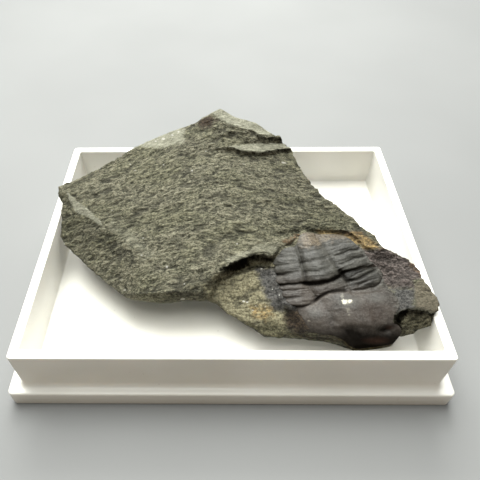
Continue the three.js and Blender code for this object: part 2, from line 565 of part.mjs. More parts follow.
// The tray's walls grown by the resting gap, which keeps the slab's underside clear of them.
function wallClearance() {
  const grow = 2 * REST_GAP;
  const outside = loft([
    roundedRing(RIM_LENGTH + grow, RIM_DEPTH + grow, RIM_CORNER, -TRAY_HEIGHT),
    roundedRing(RIM_LENGTH + grow, RIM_DEPTH + grow, RIM_CORNER, REST_GAP),
  ]);
  const innerLength = RIM_LENGTH - 2 * WALL - grow;
  const innerDepth = RIM_DEPTH - 2 * WALL - grow;
  const inside = loft([
    roundedRing(innerLength, innerDepth, INNER_CORNER, -TRAY_HEIGHT - 1),
    roundedRing(innerLength, innerDepth, INNER_CORNER, 1),
  ]);
  return outside.subtract(inside);
}

function shaleSlab() {
  const area = [-38, -30, 38, 34];
  const face = (u, v) => [u, v, slabHeight(u, v)];
  const upper = terrain(area, FACE_STEP, FACE_STEP, FACE_JITTER, face, -25);
  const pocket = trilobiteWalls(POCKET_GAP, POCKET_GAP);
  const block = upper.intersect(slabSides()).subtract(pocket).transform(faceToTray.elements);
  const lowerSide = (x, y) => [x, y, undersideHeight(x, y)];
  const under = terrain(area, UNDERSIDE_STEP, UNDERSIDE_STEP, FACE_JITTER, lowerSide, 40);
  return block.intersect(under).subtract(wallClearance());
}

const group = new THREE.Group();
group.add(meshOf(displayTray(), 'display_tray', 0xf2f1ec, 0.35));
group.add(meshOf(shaleSlab(), 'shale_slab', 0x6f6c5a, 0.9));
group.add(meshOf(trilobite(), 'trilobite', 0x4a4544, 0.6));

// The part's origin is at the middle of its box, at the foot of the tray.
const box = new THREE.Box3().setFromObject(group);
const centre = box.getCenter(new THREE.Vector3());
for (const mesh of group.children) mesh.position.set(-centre.x, -centre.y, -box.min.z);

export default group;
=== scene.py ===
import bpy
import numpy as np
from mathutils import Matrix, Vector
from mathutils.geometry import delaunay_2d_cdt


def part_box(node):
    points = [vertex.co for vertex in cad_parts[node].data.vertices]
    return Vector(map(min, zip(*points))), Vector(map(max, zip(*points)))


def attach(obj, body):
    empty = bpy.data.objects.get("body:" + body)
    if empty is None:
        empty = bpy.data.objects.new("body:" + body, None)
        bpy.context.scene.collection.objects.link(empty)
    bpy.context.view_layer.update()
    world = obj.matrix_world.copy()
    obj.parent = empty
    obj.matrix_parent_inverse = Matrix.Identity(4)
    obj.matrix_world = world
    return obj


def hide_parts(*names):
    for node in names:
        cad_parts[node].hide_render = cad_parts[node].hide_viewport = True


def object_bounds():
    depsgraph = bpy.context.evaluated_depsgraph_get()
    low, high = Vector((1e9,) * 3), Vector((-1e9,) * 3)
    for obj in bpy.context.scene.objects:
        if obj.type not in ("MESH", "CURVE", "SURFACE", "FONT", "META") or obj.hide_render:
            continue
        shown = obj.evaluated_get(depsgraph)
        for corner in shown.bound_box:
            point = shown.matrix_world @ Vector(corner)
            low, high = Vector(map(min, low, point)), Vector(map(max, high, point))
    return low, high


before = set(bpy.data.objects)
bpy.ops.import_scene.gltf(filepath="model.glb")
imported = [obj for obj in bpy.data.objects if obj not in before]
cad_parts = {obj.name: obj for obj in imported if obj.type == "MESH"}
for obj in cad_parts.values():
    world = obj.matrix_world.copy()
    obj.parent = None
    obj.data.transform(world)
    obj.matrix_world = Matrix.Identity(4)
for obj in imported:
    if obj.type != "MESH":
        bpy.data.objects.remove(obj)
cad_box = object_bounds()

# Lengths are in mm in the tray's own frame, z = 0 at the top of its rim, until to_world().
MM = 0.001

# Display tray.
RIM_LENGTH = 70.0
RIM_DEPTH = 53.5
WALL = 1.6
FLANGE_LENGTH = 74.4
FLANGE_DEPTH = 57.0
FLANGE_HEIGHT = 3.6
TRAY_HEIGHT = 12.5
FLOOR_THICKNESS = 1.6
SKIRT_WALL = 2.0
RIM_CORNER = 0.6
INNER_CORNER = 0.35
FLANGE_CORNER = 0.9
FLANGE_ROUND = 0.35
ROOT_FILLET = 0.9
FLOOR_FILLET = 0.3
CORNER_STEPS = 8
EDGE_ROUND = 0.2
REST_GAP = 0.3

# Slab: its main face is z = FACE_HEIGHT + FACE_SLOPE_X x + FACE_SLOPE_Y y.
FACE_SLOPE_X = 0.044
FACE_SLOPE_Y = 0.175
FACE_HEIGHT = 3.41
SLAB_CENTRE = np.array([2.0, -3.0])
DEEPEST = -6.1
OUTLINE_STEP = 0.3
GRAIN_STEP = 0.21
UNDERSIDE_STEP = 0.8
SIDE_RINGS = 20
BROAD_RELIEF = 0.11
FLAKE_RELIEF = 0.08
CHIP_RELIEF = 0.07
CREASE_RELIEF = 0.17
UNDERSIDE_SLOPE_BACK = 0.45
UNDERSIDE_SLOPE_LEFT = 1.1
UNDERSIDE_SLOPE_RIGHT = 2.5
LEFT_BEVEL_SLOPE = 0.42
BACK_BEVEL_SLOPE = 0.3
FRONT_BEVEL_SLOPE = 0.38
LEDGE_HEIGHT = 0.9
STAIR_HEIGHT = 1.25
TREADS = 4
CREVICE_DEPTH = 0.55
CREVICE_HALF_WIDTH = 0.55
BROKEN_STEP = 0.55
BROKEN_SLOPE = 0.85
CORNER_HOLE = (27, -20.9)
HOLE_RADIUS = 0.8
HOLE_DEPTH = 1.3
POCKET_DEPTH = 1.6
POCKET_REACH = 1.6
GROUND_BELOW_EDGE = 0.04
TIPS_FREE = 0.1

# Trilobite.
RELIEF_STEP = 0.125
TRILOBITE_EDGE_STEP = 0.16
TRILOBITE_DEPTH = 1.3
TRILOBITE_WALL_RINGS = 4
FOOT_STEP = 1.2
FOOT_REAR_W = -2.7
FOOT_FRONT_W = -4.9
SWAY = 0.09
STREAK_HEIGHT = 0.045
AXIS_HEIGHT = 0.62
AXIS_FULL_WIDTH = 5.4
PLEURA_DROP = 0.22
LEFT_TIPS = 7.7
RIGHT_TIPS = 25.5
LEFT_TIP_FALL = 1.05
RIGHT_TIP_FALL = 0.55
HEAD_MIDDLE = 20
HEAD_HALF_WIDTH = 8.5
HEAD_HEIGHT = 0.12
LEAF_HEIGHT = 0.3

# Traced shapes lie on the main face as they look from this point of the slab's own frame: u across,
# v up the face, w out of it. A traced point that is w above the face moves towards the eye.
EYE = np.array([0.96, -50.75, 73.64])

# Camera in the tray's frame.
CAMERA_PLACE = (-1.8432, -62.6744, 67.1855)
CAMERA_RIGHT = (0.99990, 0.00892, -0.01071)
CAMERA_UP = (0.00066, 0.73734, 0.67552)
CAMERA_FORWARD = (-0.01392, 0.67546, -0.73726)
FOCAL_PIXELS = 478.995
CENTRE_PIXELS = (212.10, 236.74)
FRAME_PIXELS = 480
SENSOR_MM = 36.0

# Studio: the world's colour and strength, then the lights with name, place, aim, size, power and colour.
WORLD_COLOR = (0.96, 1.0, 0.94, 1)
WORLD_STRENGTH = 0.1
STUDIO_WHITE = (0.99, 1.0, 0.96)
WARM_FILL = (1.0, 0.56, 0.18)
LIGHTS = [
    ("key_overhead", (-60, 10, 480), (0, 0, 5), (440, 260), 2.2, STUDIO_WHITE),
    ("key_high", (-60, 220, 450), (0, 0, 5), (460, 400), 4.95, STUDIO_WHITE),
    ("key_back", (-20, 420, 320), (0, 0, 5), (400, 220), 3.1, STUDIO_WHITE),
    ("fill_front", (0, -420, 70), (0, 0, 0), (500, 100), 0.13, WARM_FILL),
]
FLOOR_HALF = 900.0
FLOOR_GAP = 0.02

# Traced outline of the slab: u, v, height w of the edge, and how far the side leans out per mm downwards.
SLAB_OUTLINE = np.array([
    (-34, 9.2, -0.4, -0.15), (-31, 11, -0.2, -0.2), (-27.5, 13, -0.2, -0.2), (-24.5, 15.5, 0, -0.15),
    (-20, 19, -0.4, -0.05), (-16, 21.5, -1, 0.1), (-12, 24, -1, 0.22), (-8.5, 25.5, -0.2, 0.2),
    (-6.5, 27, 0.4, 0.1), (-3, 29.2, 1.4, 0.05), (-1.2, 30, 1.8, 0.05), (1, 28, 2, 0.05),
    (3.2, 26.5, 2, 0), (6.5, 24.8, 1.8, -0.05), (8.3, 22.8, 1.6, -0.1), (9.9, 21.1, 1.4, -0.15),
    (11.2, 20.5, 1.2, -0.15), (11.8, 19.5, 1, -0.2), (13.5, 17, 0.5, -0.2), (13.6, 15, 0, -0.25),
    (14.6, 11.8, -0.2, -0.25), (16.5, 7.5, -0.3, -0.25), (18.5, 4.3, -0.3, -0.25),
    (21.2, 1.5, -0.4, -0.3), (23.7, -1.8, -0.5, -0.3), (26.2, -4.9, -0.7, -0.3),
    (27.2, -7.6, -0.9, -0.3), (29.9, -8.7, -0.8, -0.3), (31.3, -9.6, -0.8, -0.25),
    (32.4, -11.4, -0.6, -0.2), (32.5, -13, -0.5, -0.15), (33, -14.5, -0.4, -0.1),
    (33.6, -15.9, -0.4, -0.1), (33.9, -17.6, -0.4, -0.15), (33.6, -19.1, -0.6, -0.2),
    (32.4, -20.5, -1.6, -0.3), (31.8, -21.7, -2.3, -0.35), (30, -22.1, -2.8, -0.4),
    (29.2, -22.8, -3.1, -0.4), (27, -22.4, -3.5, -0.45), (25.8, -24, -3.6, -0.4),
    (22.5, -24.7, -3.4, -0.35), (20, -25.1, -3.4, -0.35), (18, -24.4, -3.6, -0.3), (15, -23.7, -4, -0.3),
    (11, -23.2, -4.2, -0.3), (5.5, -22.8, -4.2, -0.3), (3, -21, -4, -0.35), (0, -19.2, -3.6, -0.4),
    (-2.5, -17, -3.4, -0.5), (-4, -16.5, -3.2, -0.6), (-8, -16.2, -3, -0.6), (-13, -16.5, -3, -0.6),
    (-17, -15.8, -3, -0.6), (-19, -14.5, -3, -0.55), (-24, -10.5, -3.2, -0.5), (-27, -7.5, -3.3, -0.45),
    (-30, -4.8, -3.3, -0.4), (-31.3, -2.5, -2.8, -0.4), (-31.8, 1, -2.3, -0.4), (-32.3, 5, -1.8, -0.3),
    (-33.3, 7, -1.2, -0.2),
])

# Line where the main face ends. In front of it lie the terrace, the trilobite and the wrinkled corner.
LIP = [
    (-6, -18), (-5, -14.6), (-3.5, -12.5), (-2.5, -11.3), (0, -9.9), (2, -8.7), (4, -7.6), (6, -7.5),
    (7.2, -8.2), (8.2, -7.9), (9.1, -6.6), (10.3, -5.6), (11.6, -4.6), (12.6, -3.6), (13.4, -2.9),
    (15, -2.8), (17, -3.1), (19, -3.2), (21.4, -3.4), (22.8, -4.6), (24, -6.3), (27.5, -7.1), (32, -7.4),
]

# The dark crevice in front of the lip, and the edge of the broken corner.
CREVICE = [(-2.2, -10.8), (-0.2, -10.6), (2, -9.7), (4, -8.7), (6, -8.4), (8.2, -8.9)]
BROKEN_EDGE = [(35, -20.1), (33.2, -19.8), (31.2, -19), (29.2, -18.6), (27.6, -19), (26.6, -19.9),
               (26.2, -20.8), (26, -24)]

# Lines behind which the main face is full: it falls away past them at the left, the back and the front.
LEFT_BEVEL = [(-35, 10.2), (-24, 0.4), (-14, -8.6)]
BACK_BEVEL = [(-6, 25.5), (-10, 18.6), (-24, 18.4)]
FRONT_BEVEL = [(-13, -15.6), (-8.6, -13.9), (-5.8, -12.7), (-3, -11.8), (-1, -12)]

# Edge of the pale ledge below the peak, and lower edge of the pale strip at the peak, at their true places.
LEDGE_EDGE = [(-3, 17.6), (1.1, 17.1), (3.3, 16), (6.3, 15.6), (10, 16), (14, 16.2)]
STRIP_EDGE = [(-6, 27), (-3.4, 25.2), (0.1, 23), (3.5, 21.1), (6, 20.3), (6.6, 18.9), (9, 18.7), (13, 18.4)]
STAIR_FOOT = 18.1

# Heights of the ground in front of the lip: u, v, w.
TERRACE_LEVELS = [
    (-2, -13.5, -2.5), (0, -11, -2.3), (0, -15.5, -3), (4, -9.5, -2.3), (6.5, -9.5, -2.1), (5, -14, -2.5),
    (6.5, -13, -2), (7, -16, -2.2), (4, -18, -3.2), (8, -18, -2.7), (10, -20, -3.2), (13, -21, -3.4),
    (17, -22, -3.6), (6, -21, -4), (8.5, -8, -1.4), (12, -5.5, -0.9), (15, -4.5, -0.7), (20, -5, -0.8),
    (24, -7.5, -1), (25.5, -9, -1.1), (27, -8.5, -0.9), (30, -10.5, -0.9), (27.5, -12, -1.2),
    (31, -13, -0.7), (28.5, -15, -0.9), (32.5, -15, -0.4), (33.5, -17.5, -0.3), (31, -17.5, -0.4),
    (29, -17.5, -0.8),
]

# Traced outline of the trilobite, from the rear of its axis round by its right side.
TRILOBITE_OUTLINE = [
    (12.3, -4.95), (12.7, -4.05), (13.3, -3.45), (14.2, -3.25), (15.3, -3.45), (16.3, -3.75),
    (17.6, -3.75), (19.2, -3.85), (20.6, -4.25), (21.6, -4.95), (22.3, -5.85), (22.9, -6.65),
    (23.6, -7.45), (24, -8.45), (24.3, -9.45), (25, -10.35), (25.7, -11.35), (26.1, -12.45),
    (26, -13.55), (26.3, -14.55), (27, -15.75), (27.6, -17.05), (27.6, -18.25), (27.1, -18.95),
    (26.5, -19.55), (26.2, -20.25), (26.1, -20.95), (26.8, -21.65), (27, -22.45), (26.5, -23.25),
    (25.8, -23.95), (25.2, -24.45), (23.8, -24.75), (22, -24.95), (20.6, -25.15), (19.4, -25.15),
    (18.6, -24.65), (17.9, -23.95), (17, -23.25), (15.8, -22.85), (14.3, -22.65), (13.2, -22.25),
    (12.5, -21.55), (12, -20.65), (11.6, -19.65), (11.1, -18.85), (10.9, -18.05), (10.1, -17.45),
    (9.3, -16.85), (9.2, -16.25), (8.7, -15.65), (8.9, -14.85), (8.3, -14.35), (8.4, -13.75),
    (7.8, -12.85), (8.1, -11.75), (7.7, -10.95), (8, -10.05), (7.6, -9.45), (8.2, -8.35), (8.7, -7.75),
    (9.2, -7.05), (9.8, -6.55), (10.8, -6.25), (11.7, -6.15),
]

# Furrows beside the axis of the thorax, traced from rear to head: v, then u of the left and right furrow.
FURROWS = [(-3.25, 12.2, 15.2), (-5.75, 12.1, 16.6), (-7.25, 12.3, 17.3), (-8.85, 12.4, 17.9),
           (-10.45, 12.6, 18.5), (-12.25, 12.8, 19.2), (-13.25, 13, 19.7), (-14.25, 13.3, 20.1),
           (-15.45, 13.9, 20.3), (-16.45, 14.4, 20.4)]

# Behind this line the thorax stands higher than its two front segments.
STEP_LINE = [(6.5, -13.85), (8.3, -13.75), (12.7, -13.55), (15, -13.55), (17, -13.15), (18.2, -12.55),
             (18.9, -11.75), (20, -11.45), (21.5, -11.05), (23, -10.55), (25, -10.15), (28, -9.55)]

# Line where the cephalon begins.
HEAD_MARGIN = [(8, -18.45), (10.4, -17.75), (12, -17.75), (13.2, -17.4), (14.4, -16.75), (14.9, -16.2),
               (15.5, -15.85), (16.3, -15.45), (17.2, -15.25), (18.5, -15.15), (19.8, -15.25),
               (20.3, -15.75), (21.2, -15.65), (23.2, -15.55), (25.8, -15.15), (28, -14.85)]

# Ridge along the middle of the cephalon, and the brow over its front.
HEAD_RIDGE = [(17.8, -14), (19.6, -17.5), (22.6, -22.4)]
HEAD_BROW = [(14, -21.8), (17, -21.5), (19, -21.2), (22, -21.4), (24, -21.7)]

# Grooves of the trilobite, traced from left to right: depth at either end, half-width, height of the crest
# beside it as a share of the depth, positive behind it and negative in front, and the line.
GROOVES = [
    (0.1, 0.02, 0.22, -0.5, [(8.3, -8.25), (10, -8.5), (12, -8.35)]),
    (0.34, 0.03, 0.22, -0.5, [(7.2, -10.1), (8.8, -10), (10.2, -9.8), (12.3, -9.6)]),
    (0.62, 0.05, 0.25, -0.5, [(7.3, -11.85), (9, -11.75), (10.5, -11.55), (12.7, -11.2)]),
    (0.62, 0.36, 0.18, 0.2, [(7.4, -13.85), (8.3, -13.8), (10.5, -13.67), (13.2, -13.55)]),
    (0.26, 0.14, 0.12, -0.6, [(8.3, -14.8), (11, -14.85), (13.4, -14.55)]),
    (0.12, 0.1, 0.1, -0.6, [(9, -15.2), (11, -15.2), (13.6, -14.95)]),
    (0.42, 0.05, 0.2, -0.4, [(8.2, -16.4), (10, -16.3), (11.6, -16.2), (13.4, -16.15)]),
    (0.4, 0.3, 0.15, 0.3, [(9.8, -17.55), (10.8, -17.75), (12, -17.75), (13.2, -17.4), (14.6, -16.65)]),
    (0.08, 0.08, 0.16, -0.6, [(12.9, -6.05), (14.5, -6.45), (16.2, -5.85)]),
    (0.1, 0.1, 0.3, -0.5, [(12.4, -7.65), (14.5, -7.35), (17, -6.85)]),
    (0.27, 0.18, 0.34, -0.5, [(12.2, -9.6), (14, -9.35), (15.5, -9), (17.6, -8.75)]),
    (0.28, 0.22, 0.36, -0.5, [(12.5, -11.4), (14.3, -11.35), (16, -11.1), (18, -10.35)]),
    (0.8, 0.62, 0.3, 0.25, [(12.3, -13.55), (13.5, -13.63), (15, -13.6), (16.5, -13.3), (17.8, -12.85),
                            (19.3, -12.05)]),
    (0.6, 0.5, 0.2, 0.3, [(13.9, -16.95), (14.9, -16.2), (15.5, -15.85), (16.3, -15.45), (17.2, -15.25),
                          (18.5, -15.15), (20.1, -15.25)]),
    (0.2, 0.2, 0.22, 0, [(11.8, -5.65), (12.25, -7.25), (12.4, -8.75), (12.55, -10.25), (12.8, -11.75),
                         (13, -13.55)]),
    (0.2, 0.2, 0.22, 0, [(13.2, -14.25), (13.7, -15.25), (14.3, -16.35)]),
    (0.24, 0.24, 0.4, 0, [(15.3, -3.55), (16.5, -5.65), (17.3, -7.25), (17.9, -8.85), (18.5, -10.45),
                          (19, -11.85)]),
    (0.5, 0.4, 0.34, 0, [(18.7, -11.05), (19.2, -12.15), (19.7, -13.15), (20, -13.85)]),
    (0.18, 0.18, 0.25, 0, [(19.9, -13.55), (20.2, -14.55), (20.3, -15.55)]),
    (0.06, 0.14, 0.12, -0.4, [(19.6, -5.85), (21, -5.75), (22, -5.65)]),
    (0.1, 0.16, 0.24, -0.5, [(16.7, -6.25), (18.3, -6.35), (20, -6.05)]),
    (0.14, 0.42, 0.22, -0.5, [(18.2, -8.25), (19.2, -8.25), (20, -8), (21, -7.4), (23.2, -7.1)]),
    (0.16, 0.46, 0.2, -0.5, [(18.6, -10.05), (19.6, -9.95), (20.8, -9.45), (21.7, -8.95), (24, -8.55)]),
    (0.6, 0.2, 0.18, 0.3, [(18.8, -11.85), (20, -11.53), (21.5, -11.1), (22.7, -10.65), (24.6, -10.05)]),
    (0.13, 0.13, 0.1, -0.6, [(20.4, -12.65), (22, -11.9), (24.4, -10.85)]),
    (0.5, 0.34, 0.2, -0.4, [(19.9, -13.35), (21.5, -13.1), (22.8, -12.5), (24, -11.8), (25.6, -10.95)]),
    (0.2, 0.16, 0.17, -0.4, [(21.3, -14.25), (23.2, -13.5), (25.3, -12.75)]),
    (0.3, 0.36, 0.15, 0.3, [(20.4, -15.05), (22.2, -15), (24, -14.6), (25.2, -13.9), (25.9, -12.85),
                            (25.9, -11.65)]),
    (0.12, 0.1, 0.2, 0.4, [(19.8, -15.65), (21.2, -15.7), (23.2, -15.65), (26.4, -15.05)]),
    (0.14, 0.14, 0.45, 0, [(14.9, -16.65), (15.5, -18.25), (16.5, -20.25), (17.8, -21.55)]),
    (0.1, 0.1, 0.5, 0, [(21, -15.95), (23, -18.25), (24, -20.25), (24.3, -22.05)]),
]

# Hollows and lobes of the cephalon, traced: u, v, half-widths in u and v, height.
LOBES = [
    (24.3, -22.25, 1.3, 0.68, -0.9), (18.6, -23, 0.7, 1.1, -0.35), (26, -22.4, 0.8, 0.9, 0.25),
    (20.6, -22.6, 1.3, 0.8, 0.2), (22.6, -21.8, 0.5, 1.6, 0.22), (13.6, -19.8, 1.6, 1.6, 0.18),
    (17.5, -16.8, 1.6, 0.8, 0.12), (22.5, -17.4, 2.4, 1.2, 0.12),
]

# Markings of the trilobite, traced: its tan rear; painted shade over the ribs in shade and the shaded leaf,
# and on its steep front and the hollows there, with their strength and softness; the side that passes into
# the slab's blue stone; and spots with their half-widths, among them painted highlights on the head and axis.
TAN_REAR = [(12.6, -5.6), (13, -3.4), (14.4, -2.8), (17, -3.2), (21, -3.5), (22.2, -4.6), (20, -4.7),
            (17.4, -4.9), (16.2, -6), (14.6, -6.4), (13.2, -6.3)]
SHADED_RIBS = [(19.2, -11.6), (20.8, -11.3), (22.4, -10.7), (23, -11.1), (22, -12.2), (20, -13.1),
               (19.4, -12.4)]
SHADED_LEAF = [(20.3, -13.3), (22, -12.9), (24.3, -11.8), (25.4, -11.9), (25.5, -13), (24.4, -14.1), (22.4, -14.7),
        (20.5, -14.4)]
FRONT_SHADE = [
    (0.9, 0.9, [(17.6, -21.6), (19.4, -21.4), (20.6, -21.9), (21.4, -22.7), (21.2, -24), (19, -24.7),
                (18, -23.7)]),
    (0.95, 0.8, [(22.9, -22.7), (23.2, -21.9), (25, -21.3), (26.7, -20.9), (26.1, -22), (24.4, -22.9)]),
    (1.0, 0.7, [(18, -24.2), (21, -23.9), (23.6, -24.2), (26, -24), (24.6, -25.6), (19, -25.8)]),
]
BLUE_SIDE = [(22.6, -6.2), (25.6, -9), (27, -12), (28.4, -18), (28, -19.6), (26.9, -19.2), (27, -17.4),
             (26.4, -15.6), (25.7, -14.2), (25.7, -12.4), (24.6, -10.4), (23.8, -9), (23.2, -7.6)]
RED_SPOTS = [(22.8, -23.9, 2.4, 0.7), (25.2, -21.8, 0.8, 0.5)]
WARM_SPOT = (23.4, -19.2, 3, 2.2)
HIGHLIGHT_SPOTS = [(19.5, -17, 3.4, 1.6), (24.4, -16.7, 2.4, 1.2), (13.6, -19, 1.8, 1.4), (15, -7.9, 2.4, 1.7),
              (16, -10.2, 2, 0.9)]
WHITE_SPOT = [(18.4, -17.4), (18.5, -16.8), (19, -16.8), (19.3, -17), (19.7, -16.75), (20.1, -17),
              (19.7, -17.4), (19.3, -17.3), (18.8, -17.7)]
FAINT_SPOTS = [(18.6, -16.1, 0.4, 0.6), (19.2, -18.5, 0.5, 0.4), (19.1, -19, 0.2, 0.2),
               (19.2, -19.5, 0.24, 0.2), (12.6, -20.4, 0.4, 0.2), (19.4, -17.2, 1, 0.6)]

# Patches on the slab, traced: other kinds of stone, and painted light and shade. The pale and broad-shade
# ones have a strength and a softness of edge. The pale patches are pale stone brightened by painted light
# where smooth facets and the ledge over the crevice face the lamps. The broad-shade patches are painted shade
# on the left and front bevels, the stair slopes below the peak, under the ledge, behind the fossil and on the
# terrace's front; the right part of the face gets painted shade too.
PALE_AND_LIT_PATCHES = [
    (1.0, 0.14, [(-2.8, 28.3), (-1.7, 26.8), (0.1, 25.5), (1.9, 24.4), (3.6, 23.5), (6.1, 22.8),
                 (6.8, 21.6), (9.1, 21.4), (9.4, 23.4), (7.4, 25.2), (5.3, 26), (3, 27.3), (0.6, 29),
                 (-1.1, 31.2), (-3.4, 29.6)]),
    (1.0, 0.5, [(-19.5, 19.9), (-17.6, 20.8), (-13.7, 23), (-9.8, 25.6), (-9, 24.2), (-9, 21.9),
                (-9.2, 20.2), (-10.7, 19.7), (-12.8, 19.2), (-14.9, 18.9), (-17.5, 19.4)]),
    (0.85, 0.14, [(0.2, 18.5), (2.9, 18.8), (7.6, 19.1), (11.6, 18.7), (13.2, 17.3), (10.1, 16.9),
                  (6.3, 16.5), (3.3, 16.9), (1.1, 17.9)]),
    (1.0, 0.16, [(-32.6, 9), (-30.8, 6.8), (-29.2, 5.2), (-27.6, 3.9), (-26, 2.4), (-24.4, 0.7),
                 (-23.2, -1.1), (-24.6, 0), (-26.2, 1.3), (-27.6, 2.1), (-28.9, 2.6), (-30.3, 4.3),
                 (-31.2, 6.2)]),
    (0.5, 0.35, [(-1, -8.4), (1.4, -7.4), (3.5, -6.4), (4.8, -5.8), (6, -5.5), (7.5, -5.4), (8.8, -5.6),
                 (8.4, -6.8), (7.2, -7.6), (5.8, -7.1), (4, -7.3), (2, -8.3), (0, -9.4)]),
    (0.3, 0.9, [(-22, 0.4), (-17, -2.8), (-13.6, -6.8), (-15, -7.6), (-19, -3.6), (-23, -0.8)]),
]
PALE_RIM = [(-19.5, 19.2), (-13.7, 22.7), (-9.3, 25.1), (-6.4, 26.7), (-3.5, 28.6)]
RUST_PATCHES = [
    [(19.4, -3.8), (20.7, -3.1), (22.3, -3.2), (24.2, -3.6), (25.3, -4.9), (26.1, -6), (26.6, -7.5),
     (25.3, -7), (24, -6.6), (22.4, -5.6), (21, -4.6)],
    [(9.8, -4.9), (10.5, -4.6), (11.4, -4.1), (12.6, -3.7), (12.3, -4.5), (11.7, -5.2), (10.7, -5.3)],
    [(31, -9.8), (32, -10.7), (32.7, -11.9), (32.8, -12.9), (32.2, -12.7), (31.6, -11.6), (30.9, -10.6)],
]
GOLD_PATCHES = [
    [(16, -3.9), (16.6, -3.1), (19.4, -3.1), (20.4, -4.1), (22.3, -3.6), (24.4, -4.1), (25.7, -5.6),
     (26.1, -6.9), (25.1, -7.4), (23.7, -6.8), (22.3, -5.6), (20.8, -4.5), (18.6, -4.4)],
    [(3.4, -17.8), (4.9, -17.3), (6.7, -18.1), (7, -19.4), (5.6, -20.2), (3.9, -19.6)],
]
EARTH_PATCH = [(-4.6, -13.6), (-2.4, -11.4), (0, -10.4), (3, -9), (6, -8.6), (8.4, -8.6), (8, -12),
               (9, -16), (11.5, -18), (12, -21), (15, -22.6), (18, -24.5), (11, -24), (5, -23.6),
               (2, -21.5), (-1.5, -18.5), (-3.8, -16.8)]
BLUE_PATCHES = [
    [(4.6, -10.4), (6, -10.2), (8.6, -10.2), (9.2, -13), (10.6, -16), (11.6, -18), (9.8, -18.3),
     (8.6, -18.5), (6.9, -18.1), (6.2, -16.9), (5.7, -15.7), (5.5, -14.4), (5.2, -13.1), (4.8, -11.8)],
    [(26.6, -15.2), (28.1, -15), (29.6, -14.8), (30.8, -15.2), (30.2, -18.2), (29, -18.8), (27.8, -19.2),
     (26.6, -19.8), (26.4, -18)],
]
MAUVE_PATCH = [(22.4, -6.8), (24.6, -7.2), (27.2, -7), (30.8, -8.8), (32.6, -11.4), (32.6, -13.2),
               (31, -13.6), (30.8, -15.2), (29.3, -14.9), (27, -15), (25.4, -14), (24.4, -12), (23.4, -9)]
CORNER_PATCH = [(31.2, -13.6), (33.2, -13.2), (34.6, -15.5), (34.6, -18.7), (33.4, -19.4), (30.2, -18.4),
                (30.4, -16.5)]
# Dark brown matrix; the patch by the head's front left stands in part for painted shade.
BROWN_PATCHES = [
    [(9.2, -17.9), (11.6, -17.8), (12.8, -19.5), (14, -21.6), (17, -22.6), (19.4, -24), (19, -25.6),
     (15, -25), (11.4, -23.4), (8.8, -21.6)],
    [(-6.4, 26.5), (-3.5, 27.7), (-2.1, 26.3), (-3.5, 24.3), (-5.4, 23.8)],
]
RIGHT_SHADE = [(6, 21), (13, 20), (15, 12), (19, 5), (24, -2), (23, -3.4), (14, -2.5), (10, -2.6),
               (8, 0), (7, 8)]
BROAD_SHADE_PATCHES = [
    (0.45, 1.6, [(-31.5, -0.2), (-28.6, 1.6), (-25.7, 0.4), (-22.6, -2.7), (-18, -5.9), (-17.4, -8.6),
                 (-20.4, -8.6), (-24.9, -5.7), (-27.5, -5.6), (-30.6, -3.7)]),
    (0.2, 0.7, [(-4.6, 24.6), (-1, 25), (3.4, 22.8), (6.4, 21), (12, 19.8), (12, 19), (6, 19.2), (0, 18.9),
                (-4, 20.4)]),
    (0.7, 0.3, [(6.4, 22.4), (9, 20.8), (11.8, 20), (12, 18.8), (8.9, 19.1), (6.6, 20.6)]),
    (0.5, 0.3, [(1.1, 17.6), (3.3, 16.6), (6.5, 16.2), (10.1, 16.7), (13.3, 17), (13.2, 15.8), (10.1, 15.6),
                (5.5, 15), (2.4, 15.8)]),
    (0.7, 1.2, [(-12, -15.4), (-8.6, -13.9), (-5.8, -12.7), (-3.6, -12.1), (-2.2, -12.8), (-2.2, -17),
                (-12, -17)]),
    (0.6, 0.5, [(8, -3.6), (9.5, -2.6), (11, -1.8), (13.4, -1.2), (16, -1.2), (20, -1.6), (22.4, -2.6),
                (19.7, -2.9), (16, -2.7), (13.4, -2.6), (11.4, -3.2), (9.6, -4)]),
    (1.0, 0.6, [(2, -20.1), (5.6, -20.8), (9, -21.2), (12.5, -21.7), (15.6, -22.3), (17.5, -23.2),
                (18.6, -25), (19, -26.5), (13.6, -24.8), (4, -23.6)]),
]
